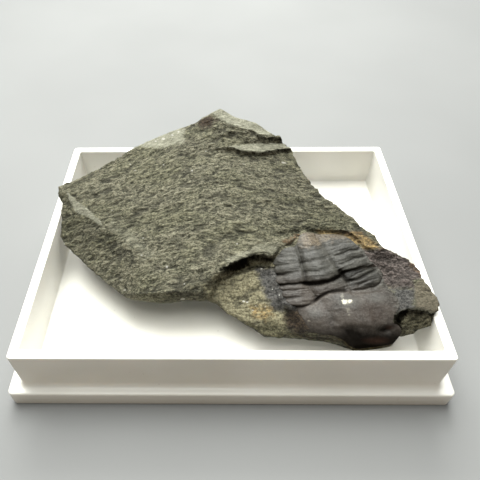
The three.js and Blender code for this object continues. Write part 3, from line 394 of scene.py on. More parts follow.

# Painted shade of the slab: patches in its shadowed hollows, and lines with half-width and strength along the
# shadowed fronts of its steps and lips. White flecks with size, the last four painted glints on the pale
# facet left of the peak. All traced.
HOLLOW_SHADE_PATCHES = [
    [(-2.4, -10.6), (-0.5, -9.6), (1.3, -8.6), (2.6, -8.2), (4.1, -7.7), (6, -8.3), (8.1, -8.7),
     (7.4, -9.1), (5.3, -9), (4, -8.7), (3.2, -8.9), (3.7, -9.4), (2.7, -10.4), (0.6, -11), (-1.4, -10.9)],
    [(26.1, -20.2), (26.3, -19.6), (27.8, -19.1), (28.7, -18.8), (30.5, -18.9), (31.8, -19.3), (33, -19.9),
     (31.7, -19.6), (30.4, -19.2), (29, -19.2), (28.4, -19.6), (27.4, -20.4), (27.2, -22.2), (26.6, -22.2),
     (26, -21.3)],
]
CORNER_SHADE = [(28.2, -20.4), (29.6, -19.6), (30.4, -19.2), (31.6, -19.4), (31.8, -20.1), (30.8, -20.4),
                (29.6, -20.8)]
SHADE_LINES = [
    (0.5, 0.4, [(8.4, -4), (9.5, -3.5), (10.4, -3), (11.6, -2.8), (13.4, -2.4), (14.8, -2.1), (16.1, -2.5),
                (18, -2.6)]),
    (0.12, 0.8, [(-1.1, 25.4), (0.8, 24.3), (3.2, 23.4), (5, 22.9), (6.3, 22.3)]),
    (0.13, 0.9, [(3, 19.5), (6, 19.6), (7.8, 20.5), (9.6, 20), (11.4, 19.1)]),
    (0.14, 0.9, [(1.8, 17.3), (4.1, 16.5), (5.8, 16.3), (7.6, 16.4), (9.4, 16.7), (11.1, 17), (13, 17)]),
    (0.13, 0.75, [(-10.7, 18.1), (-9.1, 17.6), (-7.9, 17), (-9, 16.8), (-10, 16.5)]),
    (0.12, 0.7, [(-4.8, 23.6), (-3.4, 24.3), (-2, 23.7), (0.4, 22.6), (3, 21.8), (5.4, 20.9)]),
    (0.2, 1, [(26.6, -19.6), (27.8, -19.1), (28.8, -18.8), (30.5, -19), (31.8, -19.4), (32.9, -20)]),
    (0.24, 1, [(2.8, -10.5), (4, -10.2), (5.3, -10.1), (6.4, -10.3), (8.3, -10.4)]),
    (0.32, 1, [(2.4, -8.7), (3.8, -8.3), (5.4, -8.5), (7.1, -9.1), (8.2, -9.4)]),
    (0.6, 0.55, [(0, -10), (2.4, -9.9), (4.6, -9.9), (7.6, -10)]),
    (0.14, 0.9, [(24.8, -7.5), (25.8, -7.6), (26.6, -7.6), (27.6, -7.8)]),
    (0.14, 0.8, [(4.6, -7.4), (5.4, -7.2), (6.8, -7.2), (7.6, -8)]),
    (0.16, 0.75, [(-4, -12.4), (-3.2, -11.6), (-2, -10.8)]),
    (0.14, 0.6, [(-2.6, -13), (-1.8, -12.6), (-0.8, -12.5)]),
]
FLECKS_AND_GLINTS = [(-7.1, 12.4, 0.26), (-4.4, 17.4, 0.2), (-13, 14.2, 0.24), (-19.9, 14.7, 0.2), (-15.9, -3.4, 0.24),
          (-15.8, -7.1, 0.24), (-11.1, -9.6, 0.3), (-14.1, 6.3, 0.16), (1.4, -5.2, 0.22),
          (2.2, -16.6, 0.28), (2.8, -16.8, 0.26), (5.5, -10.5, 0.24), (6.5, -13.2, 0.16),
          (7.1, -14.5, 0.14), (7, -16.7, 0.22), (8.2, -15.6, 0.16), (4.2, -17.5, 0.22),
          (5.7, -17.7, 0.22), (3.7, -18.3, 0.18), (3.2, -18.4, 0.2), (4.5, -17.2, 0.14),
          (-7.9, -13, 0.18), (3.2, -12.6, 0.16), (-22.4, 3.2, 0.16), (-13.4, 21.4, 0.5),
          (-11.6, 22.4, 0.4), (-10.3, 23.3, 0.3), (-15, 20.8, 0.35)]


def smoothstep(low, high, value):
    t = np.clip((value - low) / (high - low), 0.0, 1.0)
    return t * t * (3 - 2 * t)


def lerp(a, b, t):
    return a + (b - a) * t


def sine_random(i, j):
    wave = np.sin(i * 127.1 + j * 311.7) * 43758.5453
    return wave - np.floor(wave)


def stepped(noise, soft_low, soft_high):
    """Noise cut into terraces, each with a steep front."""
    return np.floor(noise) + smoothstep(soft_low, soft_high, noise - np.floor(noise))


def value_noise(x, y):
    """The slab's broad unevenness, between -1 and 1."""
    i = np.floor(x)
    j = np.floor(y)
    s = smoothstep(0, 1, x - i)
    t = smoothstep(0, 1, y - j)
    low = lerp(sine_random(i, j), sine_random(i + 1, j), s)
    high = lerp(sine_random(i, j + 1), sine_random(i + 1, j + 1), s)
    return 2 * lerp(low, high, t) - 1


def corner_gradient(i, j, k, seed):
    """A pseudo-random unit vector for each lattice corner."""
    h = (i * 73856093) ^ (j * 19349663) ^ (k * 83492791) ^ (seed * 2654435761)
    h = (h ^ (h >> 13)) * 1274126177
    h = (h ^ (h >> 16)) & 0xFFFFFF
    turn = (h & 0xFFF) * (2 * np.pi / 4096)
    rise = ((h >> 12) & 0xFFF) / 2047.5 - 1
    flat = np.sqrt(np.maximum(0, 1 - rise * rise))
    return flat * np.cos(turn), flat * np.sin(turn), rise


def gradient_noise(points, seed):
    """Smooth noise of an (n, 3) array, from a gradient at each lattice corner, roughly between -1 and 1."""
    cell = np.floor(points).astype(np.int64)
    part = points - cell
    fade = part ** 3 * (part * (part * 6 - 15) + 10)
    total = np.zeros(len(points))
    for di in (0, 1):
        for dj in (0, 1):
            for dk in (0, 1):
                gx, gy, gz = corner_gradient(cell[:, 0] + di, cell[:, 1] + dj, cell[:, 2] + dk, seed)
                reach = gx * (part[:, 0] - di) + gy * (part[:, 1] - dj) + gz * (part[:, 2] - dk)
                weight = 1.0
                for axis, d in enumerate((di, dj, dk)):
                    weight = weight * (fade[:, axis] if d else 1 - fade[:, axis])
                total += weight * reach
    return 1.6 * total


def layered_noise(points, scale, octaves, seed):
    """Noise in octaves. The scale gives the size of its largest features along each axis."""
    total = np.zeros(len(points))
    strength = 1.0
    frequency = np.array([1 / s for s in scale])
    for octave in range(octaves):
        total += strength * gradient_noise(points * frequency, seed + octave)
        frequency = frequency * 2.03
        strength *= 0.55
    return total


def place(traced_u, traced_v, w):
    """True position in the slab's frame of a traced point that stands w above the face."""
    share = w / EYE[2]
    return lerp(traced_u, EYE[0], share), lerp(traced_v, EYE[1], share)


def traced(u, v, w):
    """Traced position of a true point of the slab's frame."""
    share = w / EYE[2]
    return (u - EYE[0] * share) / (1 - share), (v - EYE[1] * share) / (1 - share)


def along_line(u, v, line):
    """Distance to a polyline, positive to its left, and the nearest point's share of its length."""
    best = np.full(np.shape(u), 1e9)
    side = np.ones(np.shape(u))
    share = np.zeros(np.shape(u))
    lengths = [np.hypot(b[0] - a[0], b[1] - a[1]) for a, b in zip(line[:-1], line[1:])]
    before = 0.0
    for (au, av), (bu, bv), length in zip(line[:-1], line[1:], lengths):
        du = bu - au
        dv = bv - av
        t = np.clip(((u - au) * du + (v - av) * dv) / (length * length), 0, 1)
        distance = np.hypot(u - au - t * du, v - av - t * dv)
        nearer = distance < best
        turn = du * (v - av) - dv * (u - au)
        side = np.where(nearer, np.where(turn < 0, -1.0, 1.0), side)
        share = np.where(nearer, (before + t * length) / sum(lengths), share)
        best = np.where(nearer, distance, best)
        before += length
    return best * side, share


def signed_distance(u, v, line):
    return along_line(u, v, line)[0]


def inside_distance(u, v, polygon):
    """Distance to a closed polygon, positive inside it."""
    inside = np.zeros(np.shape(u), bool)
    best = np.full(np.shape(u), 1e9)
    for i in range(len(polygon)):
        au, av = polygon[i]
        bu, bv = polygon[(i + 1) % len(polygon)]
        du = bu - au
        dv = bv - av
        t = np.clip(((u - au) * du + (v - av) * dv) / max(1e-12, du * du + dv * dv), 0, 1)
        best = np.minimum(best, np.hypot(u - au - t * du, v - av - t * dv))
        crosses = (av > v) != (bv > v)
        with np.errstate(divide="ignore", invalid="ignore"):
            at = au + (v - av) * du / (dv if dv else 1e-12)
        inside ^= crosses & (u < at)
    return np.where(inside, best, -best)


def slab_axes():
    """Unit vectors across the main face, up it and out of it."""
    normal = np.array([-FACE_SLOPE_X, -FACE_SLOPE_Y, 1.0])
    normal /= np.linalg.norm(normal)
    across = np.array([1.0, 0.0, FACE_SLOPE_X])
    across /= np.linalg.norm(across)
    return across, np.cross(normal, across), normal


ACROSS, ALONG, NORMAL = slab_axes()


def slab_to_tray(points):
    """Points of the slab's frame in the tray's."""
    return points[:, :1] * ACROSS + points[:, 1:2] * ALONG + points[:, 2:3] * NORMAL + (0, 0, FACE_HEIGHT)


TRAY_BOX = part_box("display_tray")
TRAY_MIDDLE = [(TRAY_BOX[0][i] + TRAY_BOX[1][i]) / 2 for i in range(2)]


def to_world(points):
    """Metres in the part's frame, from mm in the tray's."""
    shift = (TRAY_MIDDLE[0], TRAY_MIDDLE[1], TRAY_BOX[0][2] + TRAY_HEIGHT * MM)
    return np.asarray(points) * MM + shift


def mesh_object(name, points, faces, smooth=True):
    mesh = bpy.data.meshes.new(name)
    mesh.from_pydata([tuple(p) for p in points], [], [tuple(int(i) for i in f) for f in faces])
    mesh.validate()
    for polygon in mesh.polygons:
        polygon.use_smooth = smooth
    piece = bpy.data.objects.new(name, mesh)
    bpy.context.scene.collection.objects.link(piece)
    return piece


def add_values(piece, name, values):
    attribute = piece.data.attributes.new(name, "FLOAT", "POINT")
    attribute.data.foreach_set("value", np.asarray(values, dtype=np.float32))


# Heights of the stone and the fossil


def mound(u, v, middle_u, middle_v, size_u, size_v):
    """A rounded hill of height 1, with the given middle and half-widths."""
    return np.exp(-(((u - middle_u) / size_u) ** 2) - ((v - middle_v) / size_v) ** 2)


def height_from(levels, u, v):
    """Height between scattered points, the nearest counting most."""
    total = 0.0
    weights = 0.0
    for lu, lv, w in levels:
        weight = 1 / ((u - lu) ** 2 + (v - lv) ** 2 + 0.3) ** 1.5
        total = total + weight * w
        weights = weights + weight
    return total / weights


def bevel_fall(u, v):
    """How far the left, back and front bevels lie below the main face."""
    left = (1 - smoothstep(-21, -12, u)) * np.maximum(0, -signed_distance(u, v, LEFT_BEVEL))
    back = np.maximum(0, -signed_distance(u, v, BACK_BEVEL))
    front = np.maximum(0, -signed_distance(u, v, FRONT_BEVEL))
    front = front * smoothstep(-14, -10, u) * smoothstep(1, -1.5, u)
    return LEFT_BEVEL_SLOPE * left + BACK_BEVEL_SLOPE * back + FRONT_BEVEL_SLOPE * front


def stair_height(u, v):
    """Height of the pale ledge and of the treads from it up to the peak."""
    ragged = 0.22 * value_noise(u / 1.3, v / 1.3 + 4)
    ledge = smoothstep(-5, 1.5, u) * smoothstep(0, 0.3, signed_distance(u, v, LEDGE_EDGE) + ragged)
    top = np.interp(u, *np.transpose(STRIP_EDGE))
    climb = np.clip((v + ragged - STAIR_FOOT) / np.maximum(0.3, top - STAIR_FOOT), 0, 1)
    tread = TREADS * climb + 0.3 * value_noise(u / 2.2, v / 0.8 + 9)
    climb = np.clip(0.5 * climb + 0.5 / TREADS * stepped(tread, 0.3, 0.8), 0, 1)
    return LEDGE_HEIGHT * ledge + STAIR_HEIGHT * smoothstep(-8, -1, u) * climb


def main_face_height(u, v):
    uneven = 0.22 * value_noise(u / 6 + 3, v / 4) + 0.14 * value_noise(u / 2.4, v / 1.6 + 7)
    return stair_height(u, v) - bevel_fall(u, v) + uneven


def corner_strata(u, v):
    """How far into the broken corner a point lies, and its place in the layers that show there."""
    broken = signed_distance(u, v, BROKEN_EDGE) + 0.3 * value_noise(u / 0.8, v / 0.8 + 11)
    broken = np.maximum(0, broken)
    return broken, (0.8 * broken + 0.35 * (u - 29)) / 0.5 + 0.35 * value_noise(u / 1.8 + 5, v / 1.1)


def corner_fall(u, v):
    """How far the broken corner lies lower, with its layers' edges and the hole beside the fossil."""
    broken, strata = corner_strata(u, v)
    layers = 0.25 * (stepped(strata, 0.5, 0.9) - strata)
    fall = BROKEN_STEP * smoothstep(0, 0.25, broken) + (layers + 0.1) * smoothstep(0, 0.4, broken)
    fall = fall + BROKEN_SLOPE * broken + HOLE_DEPTH * mound(u, v, *CORNER_HOLE, HOLE_RADIUS, HOLE_RADIUS)
    return smoothstep(25.9, 26.5, u) * fall


def slab_height(u, v):
    """Height of the slab's top: the main face, and the terrace in front of its lip."""
    ragged = 0.24 * value_noise(u / 0.9, v / 0.9 + 31)
    soft = 0.4 + 1.8 * smoothstep(-1, -4, u) + 1.6 * smoothstep(23.5, 26, u)
    in_front = smoothstep(-0.05, soft, ragged - signed_distance(u, v, LIP))
    terrace = height_from(TERRACE_LEVELS, u, v) + 0.16 * value_noise(u / 2, v / 1.5 + 20)
    crevice = np.exp(-((signed_distance(u, v, CREVICE) / CREVICE_HALF_WIDTH) ** 2))
    return lerp(main_face_height(u, v), terrace - CREVICE_DEPTH * crevice, in_front) - corner_fall(u, v)


def underside_height(x, y):
    """Height of the slab's underside in the tray's frame: on the rims, and hanging down between them."""
    inner_x = RIM_LENGTH / 2 - WALL - REST_GAP
    inner_y = RIM_DEPTH / 2 - WALL - REST_GAP
    back = REST_GAP - UNDERSIDE_SLOPE_BACK * np.maximum(0, inner_y - 1 - y)
    left = REST_GAP - UNDERSIDE_SLOPE_LEFT * np.maximum(0, x + inner_x)
    right = REST_GAP - UNDERSIDE_SLOPE_RIGHT * np.maximum(0, inner_x - 0.3 - x)
    deep = DEEPEST + 0.8 * smoothstep(6, -14, x) + 0.25 * value_noise(x / 5, y / 4)
    return np.maximum(np.maximum(back, left), np.maximum(right, deep))


def over_underside(points):
    """How far points of the slab's frame lie above its underside."""
    x, y, z = slab_to_tray(points).T
    return z - underside_height(x, y)


def columns_at(rows, v):
    """Straight-line lookup in rows that run down v."""
    rows = np.array(rows, float)
    return [np.interp(-v, -rows[:, 0], rows[:, k]) for k in range(1, rows.shape[1])]


def grooves_height(u, v):
    """Grooves with the crest behind each, and the grooves alone."""
    crests = np.zeros(np.shape(u))
    cuts = np.zeros(np.shape(u))
    for deep_start, deep_end, width, crest, line in GROOVES:
        behind, share = along_line(u, v, line)
        depth = lerp(deep_start, deep_end, share)
        depth = depth * smoothstep(-0.04, 0.1, share) * smoothstep(1.02, 0.84, share)
        core = np.exp(-((behind / width) ** 2))
        shoulder = np.exp(-((behind / (np.where(behind > 0, 3.2, 1.7) * width)) ** 2))
        cuts = cuts - depth * (0.5 * core + 0.5 * shoulder)
        reach = (behind - np.sign(crest) * 1.9 * width) / (1.3 * width)
        crests = crests + 0.32 * abs(crest) * depth * np.exp(-(reach ** 2))
    return crests + cuts, cuts


def thorax_height(u, v):
    """Height of the axis and of the pleurae at its sides, without their grooves."""
    left, right = columns_at(FURROWS, v)
    behind = signed_distance(u, v, STEP_LINE)
    level = -0.3 + 0.3 * smoothstep(-3, -7, v)
    level = level - (0.3 + 0.4 * smoothstep(11.5, 13.5, u)) * smoothstep(0.1, -0.45, behind)
    t_left = np.clip((left - u) / (left - LEFT_TIPS), 0, 1)
    pleura_left = level - PLEURA_DROP - LEFT_TIP_FALL * t_left ** 2.3
    t_right = np.clip((u - right) / (RIGHT_TIPS - right), 0, 1.2)
    pleura_right = level - PLEURA_DROP - RIGHT_TIP_FALL * t_right ** 2
    t = 2 * np.clip((u - left) / (right - left), 0, 1) - 1
    arch = np.where(t < 0, 1 - np.abs(t) ** 2.3, 0.5 + 0.5 * np.cos(np.pi * t))
    axis = level - PLEURA_DROP + AXIS_HEIGHT * arch * np.minimum(1, (right - left) / AXIS_FULL_WIDTH)
    return np.where(u < left, pleura_left, np.where(u > right, pleura_right, axis))


def cephalon_height(u, v):
    """Height of the head shield: domed, with a ridge, a brow over its front and a few hollows and lobes."""
    sideways = (u - HEAD_MIDDLE) / HEAD_HALF_WIDTH
    w = HEAD_HEIGHT - 1.5 * np.maximum(0, -sideways) ** 2.2 - 0.95 * np.maximum(0, sideways) ** 2.4
    w = w - 0.058 * np.maximum(0, -17.8 - v) ** 1.9
    w = w - 0.1 * np.maximum(0, v + 16.4) ** 1.5
    ridge = signed_distance(u, v, HEAD_RIDGE)
    w = w + 0.42 * np.exp(-((ridge / 2.3) ** 2)) * smoothstep(-24.2, -21.8, v)
    brow = signed_distance(u, v, HEAD_BROW)
    w = w - 0.4 * smoothstep(0.15, -0.5, brow) * smoothstep(16, 18, u) * smoothstep(23, 22, u)
    for *place_and_size, height in LOBES:
        w = w + height * mound(u, v, *place_and_size)
    return w


def trilobite_height(u, v):
    """Height of the trilobite over the face at traced points, and how deep its grooves are there."""
    in_head = smoothstep(-0.22, 0.22, -signed_distance(u, v, HEAD_MARGIN))
    relief, cuts = grooves_height(u, v)
    leaf = LEAF_HEIGHT * mound(u, v, 23.2, -13.3, 2.2, 0.8)
    return lerp(thorax_height(u, v) + leaf, cephalon_height(u, v), in_head) + relief, cuts


# Slab


def slab_ring():
    """Outline in the slab's frame every OUTLINE_STEP, anticlockwise: u, v, w of the edge, lean."""
    u, v = place(SLAB_OUTLINE[:, 0], SLAB_OUTLINE[:, 1], SLAB_OUTLINE[:, 2])
    corners = np.column_stack([u, v, SLAB_OUTLINE[:, 2], SLAB_OUTLINE[:, 3]])[::-1]
    ring = []
    for a, b in zip(corners, np.roll(corners, -1, axis=0)):
        steps = max(1, round(np.hypot(*(b - a)[:2]) / OUTLINE_STEP))
        ring += [lerp(a, b, k / steps) for k in range(steps)]
    ring = np.array(ring)
    outward = ring[:, :2] - SLAB_CENTRE
    outward /= np.linalg.norm(outward, axis=1)[:, None]
    flat = np.column_stack([ring[:, :2], np.zeros(len(ring))])
    jagged = 0.2 * layered_noise(flat, (2.6, 2.6, 1), 2, 11)
    jagged += 0.09 * layered_noise(flat, (0.8, 0.8, 1), 2, 12)
    ring[:, :2] += outward * jagged[:, None]
    return ring, outward


def scattered(polygon, low, high, step, margin, seed, extra=()):
    """Jittered points inside a polygon."""
    rng = np.random.default_rng(seed)
    rows = int((high[1] - low[1]) / (step * 0.866))
    columns = int((high[0] - low[0]) / step)
    grid = np.stack(np.meshgrid(np.arange(columns), np.arange(rows)), -1).reshape(-1, 2).astype(float)
    grid[:, 0] += 0.5 * (grid[:, 1] % 2)
    points = np.array(low) + grid * (step, step * 0.866) + rng.uniform(-0.28, 0.28, grid.shape) * step
    if len(extra):
        points = np.concatenate([points, extra])
    keep = inside_distance(points[:, 0], points[:, 1], polygon) > margin
    return points[keep]


def triangulate(ring, inner):
    """Triangles between the closed ring and the inner points. Ring points come first, in order."""
    count = len(ring)
    points = [Vector(p) for p in np.concatenate([ring, inner])]
    edges = [(i, (i + 1) % count) for i in range(count)]
    out = delaunay_2d_cdt(points, edges, [], 1, 1e-7)
    origin = [o[0] if o else -1 for o in out[3]]
    if -1 in origin:
        raise RuntimeError("the outline crosses itself")
    faces = [[origin[i] for i in f] for f in out[2]]
    xy = np.concatenate([ring, inner])
    a, b, c = (xy[[f[k] for f in faces]] for k in range(3))
    area = (b[:, 0] - a[:, 0]) * (c[:, 1] - a[:, 1]) - (b[:, 1] - a[:, 1]) * (c[:, 0] - a[:, 0])
    return [f if s > 0 else f[::-1] for f, s in zip(faces, area) if abs(s) > 1e-9]


def near_line(line, offsets, step):
    """Extra points beside a polyline, for a crisp step."""
    points = []
    for (au, av), (bu, bv) in zip(line[:-1], line[1:]):
        length = np.hypot(bu - au, bv - av)
        for k in range(int(length / step)):
            t = k * step / length
            for n, offset in enumerate(offsets):
                s = t + 0.5 * (n % 2) * step / length
                points.append((lerp(au, bu, s) + offset * (bv - av) / length,
                               lerp(av, bv, s) - offset * (bu - au) / length))
    return np.array(points)


def close_solid(top, faces, rings, underside):
    """Points and triangles of a solid: its top, the rings of its wall on the way down, and its underside."""
    count = len(rings[0])
    above = np.arange(count)
    start = len(top)
    for _ in rings:
        below = start + np.arange(count)
        for i in range(count):
            j = (i + 1) % count
            faces.append((above[i], below[i], below[j]))
            faces.append((above[i], below[j], above[j]))
        above = below
        start += count
    index = np.concatenate([above, start + np.arange(len(underside))])
    foot = triangulate(rings[-1][:, :2], underside[:, :2])
    faces += [tuple(index[i] for i in f[::-1]) for f in foot]
    return np.concatenate([top, *rings, underside]), faces


def vertex_normals(points, faces):
    faces = np.array(faces)
    a, b, c = (points[faces[:, k]] for k in range(3))
    face_normals = np.cross(b - a, c - a)
    normals = np.zeros_like(points)
    for k in range(3):
        np.add.at(normals, faces[:, k], face_normals)
    return normals / np.maximum(1e-12, np.linalg.norm(normals, axis=1))[:, None]


def trilobite_ring(step):
    """True plan of the trilobite's outline, rounded, with its traced points."""
    corners = np.array(TRILOBITE_OUTLINE[::-1], float)
    count = len(corners)
    ring = []
    for i in range(count):
        p0, p1, p2, p3 = (corners[(i + k) % count] for k in (-1, 0, 1, 2))
        steps = max(2, round(np.linalg.norm(p2 - p1) / step))
        for k in range(steps):
            t = k / steps
            ring.append(0.5 * (2 * p1 + (p2 - p0) * t + (2 * p0 - 5 * p1 + 4 * p2 - p3) * t * t
                               + (3 * p1 - p0 - 3 * p2 + p3) * t ** 3))
    return np.array(ring)


def scale_coordinates(points):
    """The slab's points with the sweep of its scales straightened: along them, across them and through."""
    u, v = points[:, 0], points[:, 1]
    sweep = 0.12 * u - 2.6 * np.log(np.cosh((u + 2) / 8)) * (0.45 + 0.55 * smoothstep(-8, 10, v))
    warp = 0.35 * layered_noise(points, (3.4, 2.4, 2), 2, 21)
    return np.column_stack([u + warp, v - sweep - 0.6 * warp, points[:, 2] + 0.3 * warp])


def slab_relief(points, masks):
    """Scaly grain of split shale, finest across the bedding."""
    bent = scale_coordinates(points)
    broad = BROAD_RELIEF * stepped(1.5 * layered_noise(bent, (5.2, 2.1, 1.6), 2, 31), 0.2, 0.55)
    flakes = FLAKE_RELIEF * stepped(2.1 * layered_noise(bent, (1.5, 0.7, 0.6), 2, 41), 0.2, 0.6)
    chips = CHIP_RELIEF * layered_noise(bent, (0.75, 0.42, 0.4), 2, 45)
    relief = broad + flakes + chips - 0.08
    creases = np.abs(layered_noise(bent, (1.5, 0.55, 0.6), 2, 81))
    creases = CREASE_RELIEF * smoothstep(0, 0.4, creases) + 0.18 * np.minimum(creases, 0.8) - 0.2
    return lerp(relief, creases, masks["mauve"])


def meet_fossil(top):
    """Raise or lower the ground to the trilobite's edge, sink it underneath, and return how far in it is."""
    outline = trilobite_ring(0.3)
    edge_w = trilobite_height(*outline.T)[0]
    edge_u, edge_v = place(outline[:, 0], outline[:, 1], edge_w)
    inside = inside_distance(top[:, 0], top[:, 1], np.column_stack([edge_u, edge_v]))
    near = np.nonzero(inside > -POCKET_REACH)[0]
    reach = np.hypot(top[near, 0][:, None] - edge_u, top[near, 1][:, None] - edge_v)
    weight = 1 / (reach ** 4 + 0.002)
    wanted = (weight * edge_w).sum(axis=1) / weight.sum(axis=1)
    u, v = top[near, 0], top[near, 1]
    free_tips = smoothstep(10, 9, u) * smoothstep(-17, -16.2, v) * smoothstep(-7.4, -8.2, v)
    wanted = wanted - GROUND_BELOW_EDGE - TIPS_FREE * free_tips
    reach = lerp(1.5, 0.55, smoothstep(-0.3, 0.3, signed_distance(u, v, LIP)))
    share = smoothstep(-1, -0.1, inside[near] / reach)
    top[near, 2] = lerp(top[near, 2], wanted, share)
    top[:, 2] -= POCKET_DEPTH * smoothstep(0.1, 0.7, inside)
    return inside


def side_foot(ring, outward, top_w):
    """Heights at which the leaning sides meet the underside."""
    base_w = np.full(len(ring), -8.0)
    for _ in range(12):
        drop = np.maximum(0, ring[:, 2] - base_w)
        spot = np.column_stack([ring[:, :2] + outward * (ring[:, 3] * drop)[:, None], base_w])
        base_w = base_w - over_underside(spot)
    return np.minimum(base_w, np.minimum(top_w, ring[:, 2]) - 0.25)


def side_ring(ring, outward, w, share, inset, rise):
    """Points of the side at heights w, a share of the way down: rounded above the edge, leaning below."""
    up = np.clip((w - ring[:, 2]) / np.maximum(0.3, rise), 0, 1)
    out = np.where(w > ring[:, 2], -inset * up ** 2, ring[:, 3] * (ring[:, 2] - w))
    out = out - 0.35 * smoothstep(0.85, 1.0, share)
    return np.column_stack([ring[:, :2] + outward * out[:, None], w])


def underside_points(inner):
    """Points in plan, moved to the slab's underside."""
    w = np.full(len(inner), -4.0)
    for _ in range(6):
        w = w - over_underside(np.column_stack([inner, w]))
    return np.column_stack([inner, w])


def slab_solid():
    """Points and triangles of the slab before its grain, and how far inside the fossil's edge each lies."""
    ring, outward = slab_ring()
    count = len(ring)
    low = ring[:, :2].min(axis=0)
    high = ring[:, :2].max(axis=0)
    crisp = [near_line(line, (-0.3, -0.12, 0.02, 0.14, 0.26, 0.4, 0.6), 0.16)
             for line in (LIP, LEDGE_EDGE, STRIP_EDGE, BROKEN_EDGE)]
    top_w = slab_height(ring[:, 0], ring[:, 1])
    rise = np.maximum(0, top_w - ring[:, 2])
    inset = 0.25 + 0.12 * np.minimum(rise, 3)
    rim = ring[:, :2] - outward * inset[:, None]
    inner = scattered(rim, low, high, GRAIN_STEP, 0.14, 5, np.concatenate(crisp))
    faces = triangulate(rim, inner)
    plan = np.concatenate([rim, inner])
    top = np.column_stack([plan, slab_height(plan[:, 0], plan[:, 1])])
    in_fossil = meet_fossil(top)
    base_w = side_foot(ring, outward, top_w)
    rings = []
    for k in range(1, SIDE_RINGS + 1):
        share = k / SIDE_RINGS
        w = lerp(top[:count, 2], base_w, share)
        rings.append(side_ring(ring, outward, w, share, inset, rise))
    inner = scattered(rings[-1][:, :2], low, high, UNDERSIDE_STEP, 0.3, 6)
    solid, faces = close_solid(top, faces, rings, underside_points(inner))
    return solid, faces, np.concatenate([in_fossil, np.full(len(solid) - len(in_fossil), -9.0)])


def build_slab():
    """The slab with its grain, and attributes for its stone kinds, painted light and shade, and its scales'
    sweep.
    """
    solid, faces, in_fossil = slab_solid()
    normals = vertex_normals(solid, faces)
    tu, tv = traced(solid[:, 0], solid[:, 1], solid[:, 2])
    masks = slab_masks(tu, tv, smoothstep(-0.2, 0.5, normals[:, 2]), solid)
    calm = 1 - 0.85 * masks["pale"] - 0.45 * masks["blue"] - 0.3 * masks["corner"]
    calm = calm * (1 - smoothstep(-0.6, 0.2, in_fossil) * 0.6)
    relief = slab_relief(solid, masks) * calm
    resting = smoothstep(1.5, 0.4, slab_to_tray(solid)[:, 2]) * smoothstep(0.2, -0.4, normals[:, 2])
    solid = solid + normals * (relief * (1 - resting))[:, None]
    piece = mesh_object("shale_slab_stone", to_world(slab_to_tray(solid)), faces)
    for name, values in masks.items():
        add_values(piece, name, values)
    # The relief, which the material turns into painted shade in recesses and painted highlight on raised
    # grain.
    add_values(piece, "cavity", relief)
    sweep = piece.data.attributes.new("sweep", "FLOAT_VECTOR", "POINT")
    sweep.data.foreach_set("vector", scale_coordinates(solid).astype(np.float32).ravel())
    return piece


def patch(u, v, polygon, edge, ragged):
    """1 inside a polygon and 0 outside it, soft over edge and frayed by ragged."""
    return smoothstep(-edge, edge, inside_distance(u, v, polygon) + ragged)


def deep_shade_mask(u, v, solid, ragged, in_corner):
    """Painted shade: crevice, hollows, fronts of steps, joints of the broken corner's layers and under its
    top edge.
    """
    fringe = 0.22 * layered_noise(solid, (0.6, 0.45, 0.45), 2, 75)
    crevice, share = along_line(u, v, CREVICE)
    crevice = np.exp(-(((crevice + 0.3 * ragged) / 0.62) ** 2)) * smoothstep(0, 0.12, share)
    dark = [0.6 * smoothstep(0.35, 0.8, crevice)]
    dark += [0.97 * patch(u, v, p, 0.16, 0.5 * ragged + fringe) for p in HOLLOW_SHADE_PATCHES]
    for width, strength, line in SHADE_LINES:
        reach, share = along_line(u, v, line)
        reach = np.abs(reach + (0.3 + width) * ragged) / width + 0.8 * np.abs(fringe)
        dark.append(strength * np.exp(-(reach ** 2)) * smoothstep(0, 0.1, share) * smoothstep(1, 0.9, share))
    strata = corner_strata(solid[:, 0], solid[:, 1])[1]
    joint = strata - np.floor(strata)
    dark.append(0.75 * in_corner * smoothstep(0.5, 0.75, joint) * smoothstep(1, 0.85, joint))
    dark.append(0.6 * patch(u, v, CORNER_SHADE, 0.5, 0.8 * ragged))
    return np.max(dark, axis=0)


